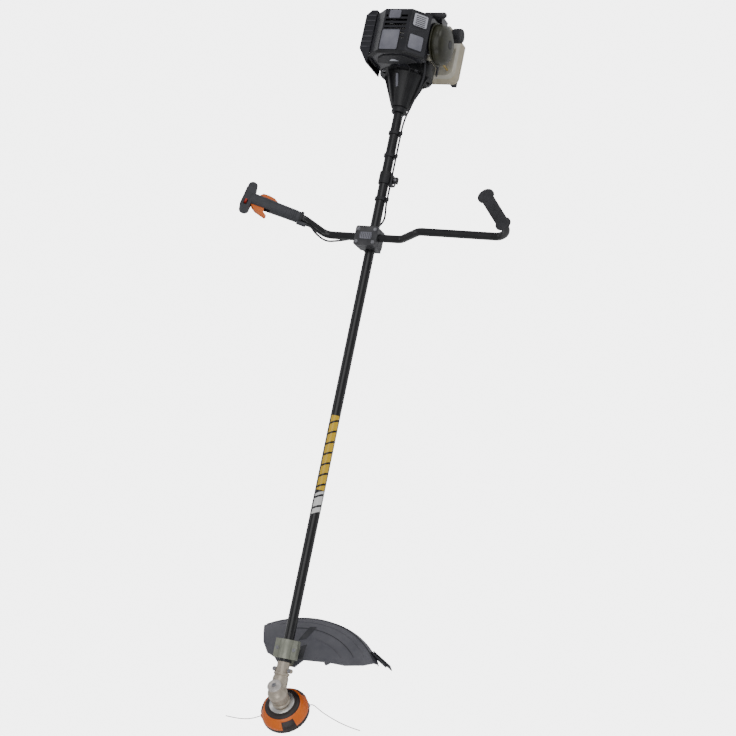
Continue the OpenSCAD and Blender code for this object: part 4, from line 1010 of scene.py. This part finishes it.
# Fan case, recoil starter and its handle
softened("starter_housing", "glossCover", 0.0018)
growPiece(
    "starter_fins", crownTree, shift(shaftMm, 0, 0, -86.4),
    {"Count": 36, "Radius": 52.0, "Depth": 17.0, "Width": 1.6, "Height": 1.6}, "moulded", bevel=0.0003,
)
hubProfile = [(0.2, -86), (13, -86), (14, -87), (14, -87.6), (12, -88.2), (0.2, -88.2)]
piece("starter_hub", Form().lathe(shaftMm, hubProfile), "panelDark")
pull = {"rope": (-74, 84), "stemFoot": 61, "bar": 81}
stemPlace = shift(engineMm, *pull["rope"], 0)
stemProfile = [(0.2, 61), (5.4, 61), (6, 62), (6.6, 70), (8.0, 78), (8.4, 81), (0.2, 83)]
piece(
    "starter_stem", Form().lathe(stemPlace, stemProfile, 40), "gripRubber", "pull_handle",
    ("starter_handle",), smooth=60,
)
tee = [
    (0.2, -30.8), (4.6, -30.4), (7.0, -28), (8.0, -24), (7.4, -12), (7.2, 0), (7.4, 12), (8.0, 24),
    (7.0, 28), (4.6, 30.4), (0.2, 30.8),
]
teePlace = placeFrom(stemPlace @ Vector((0, 0, pull["bar"])), (0, 1, 0), (1, 0, 0)) @ milli
piece("starter_tee", Form().lathe(teePlace, tee, 40), "gripRubber", "pull_handle", smooth=60)
growPiece(
    "starter_tee_ribs", beadTree, shift(teePlace, 0, 0, -20),
    {"Count": 11, "Spacing": 4.0, "Radius": 7.2, "Bead": 0.7}, "gripRubber", "pull_handle",
)
ropeEnds = [stemPlace @ Vector((0, 0, z)) for z in (35, 61.5)]
ropeLow = [shift(engineMm, pull["rope"][0], 0, 33) @ Vector((0, y, 0)) for y in (4, 20, 40, 60, 76)]
ropeRoute = smoothRoute(
    ropeLow + [stemPlace @ Vector((0, -1.6, 34.4)), stemPlace @ Vector((0, 0, 38)), ropeEnds[1]], 0.0016,
)
rope = piece(
    "starter_cord", sweep(Form(), ropeRoute, circle(0.00168, 12), 300.0), "ropeWhite", None,
    ("starter_rope",), smooth=60,
)
print("starter dressed")

# Air filter: a round lid with a ribbed rim and a wing knob
softened("filter_base", "oliveLid", 0.0010)
lidPlace = shift(leftMm, -5, -53, 96)
lid = [
    (0.2, 0.4), (50.6, 0.4), (51.6, 1.6), (51.8, 12), (50.4, 13.4), (50.2, 17), (47.5, 22), (41, 27), (
        30, 30.6,
    ),
    (16, 32.6), (12, 32.6), (11, 31.4), (0.2, 31.4),
]
piece("filter_lid", Form().lathe(lidPlace, lid, 96), "oliveLid", "root", ("filter_cover",), smooth=50)
growPiece(
    "filter_ridges", crownTree, shift(lidPlace, 0, 0, 7),
    {"Count": 60, "Radius": 51.7, "Depth": 0.9, "Width": 1.7, "Height": 8.5}, "oliveLid", bevel=0.0002,
)
knob = [(0.2, 30.8), (9.6, 30.8), (10.2, 31.6), (9.4, 33.4), (0.2, 33.9)]
piece("filter_knob", Form().lathe(lidPlace, knob, 48), "moulded")
growPiece(
    "filter_spokes", crownTree, shift(lidPlace, 0, 0, 28.2),
    {"Count": 8, "Radius": 33.0, "Depth": 20.0, "Width": 2.4, "Height": 1.8, "Lean": 0.24}, "oliveLid",
    bevel=0.0004,
)

# Carburettor and its controls
softened("carburettor", "carbGrey", 0.0009)
softened("choke_lever", "moulded", 0.0005)
softened("throttle_arm", "brassZinc", 0.0004)
rodRoute = [engineMm @ Vector(p) for p in ((30, 58, 70), (30, 74, 72), (29.5, 88, 70))]
piece("carb_rod", sweep(Form(), smoothRoute(rodRoute, 0.002), circle(0.0018, 14)), "steel")
carbFace = engineMm @ Matrix.Translation((20, 78, 48)) @ Matrix.Rotation(math.radians(90), 4, "Y")
growPiece(
    "carb_jets", screwTree, carbFace, {"Radius": 2.6, "Washer": 3.0, "Height": 2.2, "Sink": -1.2},
    "brassZinc", points=[(-14, -8, 1.0), (-14, 8, 1.0), (-20, 0, 1.0)],
)
dome = [(0.2, 23), (8.9, 23), (8.9, 25), (8.2, 30), (6.2, 34), (3.4, 36), (0.2, 36.4)]
bulbPlace = engineMm @ Matrix.Translation((0, 78, 48)) @ Matrix.Rotation(math.radians(90), 4, "Y")
piece(
    "primer_dome", Form().lathe(bulbPlace, dome, 40), "bulbClear", "primer", ("primer_bulb",), smooth=60,
)
barrel = [(0.2, 30), (8.5, 30), (9, 31), (9, 46), (8, 47.5), (0.2, 47.5)]
piece(
    "idle_barrel",
    Form().lathe(engineMm @ Matrix.Translation((0, 50, 52)) @ Matrix.Rotation(math.radians(90), 4, "Y"),
    barrel, 40), "moulded",
)

# Tank, its ridged cap and the stand it rests on
softened("fuel_tank", "tankCream", 0.0120, 5, 45)
fuelCapPlace = shift(leftMm, -70, 25, 99)
capProfile = [
    (0.2, 11.2), (13.5, 11.2), (13.5, 0.2), (18.2, 0.2), (19, 1.2), (19, 21), (17.6, 23.6), (12, 24.6),
    (0.2, 24.6),
]
piece("cap_body", Form().lathe(fuelCapPlace, capProfile), "moulded", "cap", ("fuel_cap",))
growPiece(
    "cap_ridges", crownTree, shift(fuelCapPlace, 0, 0, 11),
    {"Count": 26, "Radius": 18.5, "Depth": 1.4, "Width": 2.2, "Height": 18.0}, "moulded", "cap",
    bevel=0.0004,
)
capBar = Form().block(shift(fuelCapPlace, 0, 0, 24.2), (-15, -2.4, -1), (15, 2.4, 1.0))
piece("cap_wing", capBar, "moulded", "cap", bevel=0.0006)
softened("tank_stand", "moulded", 0.0012)
softened("ignition_coil", "moulded", 0.0008)
softened("strap_clamp", "castBlack", 0.0010)
softened("cable_clips", "moulded", 0.0004)
print("fuel side dressed")

# Guard: the shell, its darker rim, raised arcs, the dark slot, and a dark wedge by the clamp that is
# painted shade
softened("guard", "guardGrey", 0.0009, 2, 30)
guard = {"centre": 14, "radius": 239, "top": 20}
guardMm = shift(headMm, 0, guard["centre"], 0)
guard["rim"] = (guard["radius"] * abs(headForward.z) - apex.z * 1000) / headUp.z


def arcBand(place, inner, outer, low, high, start, end, steps=72):
    outline = [(inner, low), (outer, low), (outer, high), (inner, high)]
    rings = []
    for step in range(steps + 1):
        a = math.radians(start + (end - start) * step / steps)
        rings.append([place @ Vector((r * math.cos(a), r * math.sin(a), z)) for r, z in outline])
    return Form().rings(rings)


def shellHeight(r):
    stops = [(130, 20), (201, 6), (231, -6), (239, -18)]
    for (r0, z0), (r1, z1) in zip(stops, stops[1:]):
        if r <= r1:
            return z0 + (z1 - z0) * (r - r0) / (r1 - r0)
    return stops[-1][1]


piece(
    "guard_rim", arcBand(guardMm, 238.4, 240.0, guard["rim"] + 0.5, -18.5, 128, 215), "guardDark",
    bevel=0.0004,
)
piece(
    "guard_edge",
    arcBand(guardMm, 229.5, 232.0, shellHeight(230.8) - 1.2, shellHeight(230.8) + 1.2, 127.5, 214.5),
    "guardDark", bevel=0.0005,
)
for index, (radius, start, end) in enumerate([(214, 131, 206), (190, 134, 198), (163, 138, 172)]):
    height = shellHeight(radius) if radius > 130 else guard["top"]
    ridge = arcBand(guardMm, radius - 0.9, radius + 0.9, height - 1.0, height + 0.9, start, end)
    piece("guard_arc_%d" % index, ridge, "guardDark" if index == 1 else "guardGrey", bevel=0.0005)
guardTop = shift(headMm, 0, 0, guard["top"])
# A dark slab on the guard top beside the clamp: painted shade where the clamp shadows the shell
piece(
    "guard_wedge", Form().slab(guardTop, [(-93, 16), (-129, 13), (-136, 26), (-92, 33)], -1.5, 0.5),
    "guardDark", bevel=0.0003,
)
slotOutline = [
    (-147, -2), (-156, 15), (-170, 18), (-184, 21), (-200, 23), (-196, 6), (-180, 3), (-163, 0),
]
slotRings = []
for lift in (-1.5, 0.7):
    slotRings.append(
        [headMm @ Vector((x, y, shellHeight(math.hypot(x, y - guard["centre"])) + lift)) for x,
        y in slotOutline]
    )
piece("guard_slot", Form().rings(slotRings), "guardDark")
softened("guard_clamp", "clampCream", 0.0016)
softened("line_cutter", "guardDark", 0.0006)
cutter = {"angle": 133.8, "reach": 239.3, "flare": 16}
cutterSpot = Matrix.Translation((cutter["reach"], 0, guard["rim"] + 2))
cutterTurn = Matrix.Rotation(math.radians(cutter["angle"]), 4, "Z") @ cutterSpot
cutterTurn = cutterTurn @ Matrix.Rotation(math.radians(cutter["flare"]), 4, "Z")
piece(
    "cutter_holder", Form().block(guardMm @ cutterTurn, (-5, -50, 3), (-0.1, 6, 17)), "guardDark",
    bevel=0.0012,
)

# Gear case: the cast elbow, a black seam, its grease cap
softened("gear_case", "gearChampagne", 0.0012, 2, 45)
seam = [
    (15.2, reachMm - 79), (16.8, reachMm - 79), (17.1, reachMm - 78), (17.1, reachMm - 75.6),
    (15.2, reachMm - 75.6),
]
piece("gear_seam", Form().hollow(shaftMm, seam), "moulded")
band = [
    (15.0, reachMm - 50), (18.4, reachMm - 50), (19.4, reachMm - 48.6), (19.4, reachMm - 45),
    (18, reachMm - 43.5), (15.0, reachMm - 43.5),
]
piece("gear_band", Form().hollow(shaftMm, band), "gearChampagne", smooth=50)
lidTop = [
    (0.2, 28), (15.9, 28), (17.2, 29), (17.4, 31.4), (16.4, 33), (11, 33.4), (10, 32.4), (0.2, 32.4),
]
piece("gear_lid", Form().lathe(headMm, lidTop), "gearLight", smooth=50)
skirtRing = [(14, -33.5), (21.5, -33.5), (22.6, -32.2), (22.6, -29.6), (20, -26.5), (14, -26.5)]
piece("gear_skirt", Form().hollow(headMm, skirtRing), "gearChampagne", smooth=50)
growPiece(
    "grease_screw", screwTree, headMm, {"Radius": 5.0, "Washer": 6.4, "Height": 3.0, "Sink": -1.6},
    "steel", points=[(0, 0, 33.4)],
)
print("guard and gear case dressed")

# Cutting head: silver flange, dark annulus, orange ring, black skirt with windows and grip ribs
flange = [(6.2, -37.2), (30.0, -37.2), (31.4, -38.2), (31.4, -40.2), (6.2, -40.2)]
piece(
    "flange_ring", Form().hollow(headMm, flange, 96), "flangeSilver", "cutting_head", ("head_flange",),
    smooth=50,
)
growPiece(
    "flange_notches", crownTree, shift(headMm, 0, 0, -38.6),
    {"Count": 12, "Radius": 31.3, "Depth": 1.4, "Width": 6.0, "Height": 2.6}, "flangeSilver",
    "cutting_head", bevel=0.0004,
)
annulus = [(7, -40.6), (36, -40.6), (42.5, -43.0), (44.2, -45.2), (44.2, -48.5), (36, -43.6), (7, -43.2)]
piece(
    "head_annulus", Form().hollow(headMm, annulus, 96), "headDark", "cutting_head", ("head_housing",),
    smooth=50,
)
orangeRing = [
    (44.2, -44.8), (46.4, -45.6), (50, -49.4), (55.5, -57.2), (58.4, -62.6), (59, -65), (59, -69.6), (
        56.6, -69.6,
    ),
    (56.4, -64.6), (48, -52), (44.2, -48.4),
]
piece("head_orange", Form().hollow(headMm, orangeRing, 96), "orange", "cutting_head", smooth=45)
skirt = [(59, -69.6), (59, -80.8), (58, -82), (56.6, -82), (56.6, -69.6)]
piece("head_skirt", Form().hollow(headMm, skirt, 96), "headDark", "cutting_head")
growPiece(
    "head_ribs", crownTree, shift(headMm, 0, 0, -76),
    {"Count": 48, "Radius": 58.9, "Depth": 0.9, "Width": 2.6, "Height": 9.0}, "headDark", "cutting_head",
    bevel=0.0003,
)


def headWindow(angle, spread):
    rings = []
    for step in range(13):
        a = math.radians(angle - spread / 2 + spread * step / 12)
        section = [
            (49, -50.5), (50.4, -48.9), (56.2, -56.9), (59.1, -62.3), (59.7, -65), (59.7, -70), (57, -70),
        ]
        rings.append([headMm @ Vector((r * math.cos(a), r * math.sin(a), z)) for r, z in section])
    return Form().rings(rings)


for index in range(3):
    piece(
        "head_window_%d" % index, headWindow(36 + 120 * index, 34), "headDark", "cutting_head",
        bevel=0.0004,
    )
for index, angle in enumerate((117, 297)):
    spoke = headMm @ Matrix.Rotation(math.radians(angle), 4, "Z") @ Matrix.Translation((0, 0, -72))
    turned = spoke @ Matrix.Rotation(math.radians(90), 4, "Y")
    eyelet = [(2.3, 55.5), (2.3, 60.4), (3.0, 61.2), (4.6, 61.2), (5.2, 60.2), (5.2, 55.5)]
    piece("head_eyelet_%d" % index, Form().hollow(turned, eyelet, 32), "steel", "cutting_head", smooth=50)
knobProfile = [
    (0.2, -80.6), (55, -80.6), (55, -82), (45, -86), (33, -89), (24.5, -91), (23, -94), (19, -100.5),
    (16, -101.8), (0.2, -101.8),
]
piece(
    "bump_cap", Form().lathe(headMm, knobProfile, 96), "headDark", "bump_feed", ("bump_knob",), smooth=50,
)
growPiece(
    "bump_ribs", crownTree, shift(headMm, 0, 0, -95),
    {"Count": 16, "Radius": 21.6, "Depth": 3.0, "Width": 3.2, "Height": 9.0}, "headDark", "bump_feed",
    bevel=0.0006,
)
print("cutting head dressed")

# Screws: one tree, each group turned the way its heads face
barScrews = [(barX * 1000 + x, y, bar["lift"] * 1000 + 17.6) for x in (-17, 17) for y in (-23, 23)]
clampScrews = [(reachMm - 106, y, 9.4) for y in (-22.7, 22.7)]
caseScrews = [(reachMm - 56, y, 6.4) for y in (-19.7, 19.7)]
strapScrew = [(347, 24.7, -4.9)]
growPiece(
    "screws_upright", screwTree, engineMm, {}, "steel", "root", ("screws",),
    points=barScrews + clampScrews + caseScrews + strapScrew,
)
turns = [math.radians(a) for a in (45, 135, 225, 315)]
ringPoints = [(65 * math.cos(a), 65 * math.sin(a), 65.4) for a in turns]
growPiece("screws_housing", screwTree, shaftMm, {"Seed": 3}, "steel", points=ringPoints)
print("screws grown")

# Cords: the trimmer's lines and the throttle cable, along the same points as the part
def routeLength(route):
    return sum((b - a).length for a, b in zip(route, route[1:]))


lines = {"diameter": 0.0024, "fill": 0.96, "valley": 0.72, "twist": 420.0, "eyeletHeight": -0.072}
lineRightPoints = [
    (-25.6, 50.2, 0), (-30, 58.9, 0), (-29, 66, 0), (-25, 75, 0), (-20, 85, -0.1), (-15, 96, -0.3), (
        -10.5, 108, -0.6,
    ),
    (-6, 121, -1), (-2, 134, -1.4), (1.5, 147, -1.9), (4.5, 161, -2.5), (7, 175, -3.1), (8.8, 189, -3.6), (
        10, 203, -4,
    ),
]
lineLeftPoints = [
    (25.6, -50.2, 0), (30, -58.9, 0), (35, -66.5, 0), (39.5, -76, -0.1), (43, -87, -0.4), (45, -99, -0.8),
    (45.8, -111, -1.4), (45.8, -123, -2.1), (45.4, -134, -2.9), (44.8, -145.6, -3.8),
]
for side, points in (("left", lineLeftPoints), ("right", lineRightPoints)):
    raised = [
        headPlace @ (Vector(p) * millimetre + Vector((0, 0, lines["eyeletHeight"]))) for p in points
    ]
    route = smoothRoute(raised, 0.0012)
    star = []
    for k, (x, y) in enumerate(circle(lines["diameter"] / 2 * lines["fill"], 8)):
        share = lines["valley"] if k % 2 else 1.0
        star.append((x * share, y * share))
    line = piece(
        "trimmer_line_" + side, sweep(Form(), route, star, lines["twist"]), "lineNylon", "cutting_head",
        ("line_" + side,), smooth=60,
    )
    route[0]
    routeLength(route)
    lines["diameter"]


cable = {"diameter": 0.005, "entry": 0.0165}
cablePoints = [
    (526, -134, 62), (532, -126, 50), (536, -117, 39), (537, -106, 31), (534, -92, 26), (528, -76, 18), (
        519, -60, 6,
    ),
    (507, -44, -6), (494, -28, -15), (480, -10, -19.5), (466, 6, -18.5), (452, 16, -11), (438, 19.2, -3), (
        424, 19.5, 2,
    ),
    (405, 19.5, 3), (370, 19.5, 3), (330, 19.5, 3), (290, 19.5, 3), (250, 19.5, 3), (215, 19.5, 3), (
        195, 21, 4,
    ),
    (175, 26, 7), (155, 34, 11), (135, 43, 17), (115, 53, 25), (98, 62, 34), (84, 69, 43), (72, 73, 52), (
        62, 75.5, 60,
    ),
    (52, 76, 66), (42, 76, 69), (34, 76, 70), (27.3, 76, 70),
]
cableStart = [throttlePlace @ Vector((cable["entry"], 0, z)) for z in (-0.004, -0.022)]
cableRoute = smoothRoute(cableStart + [shaftAxis + Vector(p) * millimetre for p in cablePoints], 0.004)
throttleCable = piece(
    "throttle_cable_sheath", sweep(Form(), cableRoute, circle(cable["diameter"] / 2, 14)), "gripRubber",
    "root", ("throttle_cable",),
)
cableRoute[0]
routeLength(cableRoute)
cable["diameter"]
print("cords laid")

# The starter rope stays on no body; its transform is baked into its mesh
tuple(ropeEnds[0])
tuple(ropeEnds[1])
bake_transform(rope)
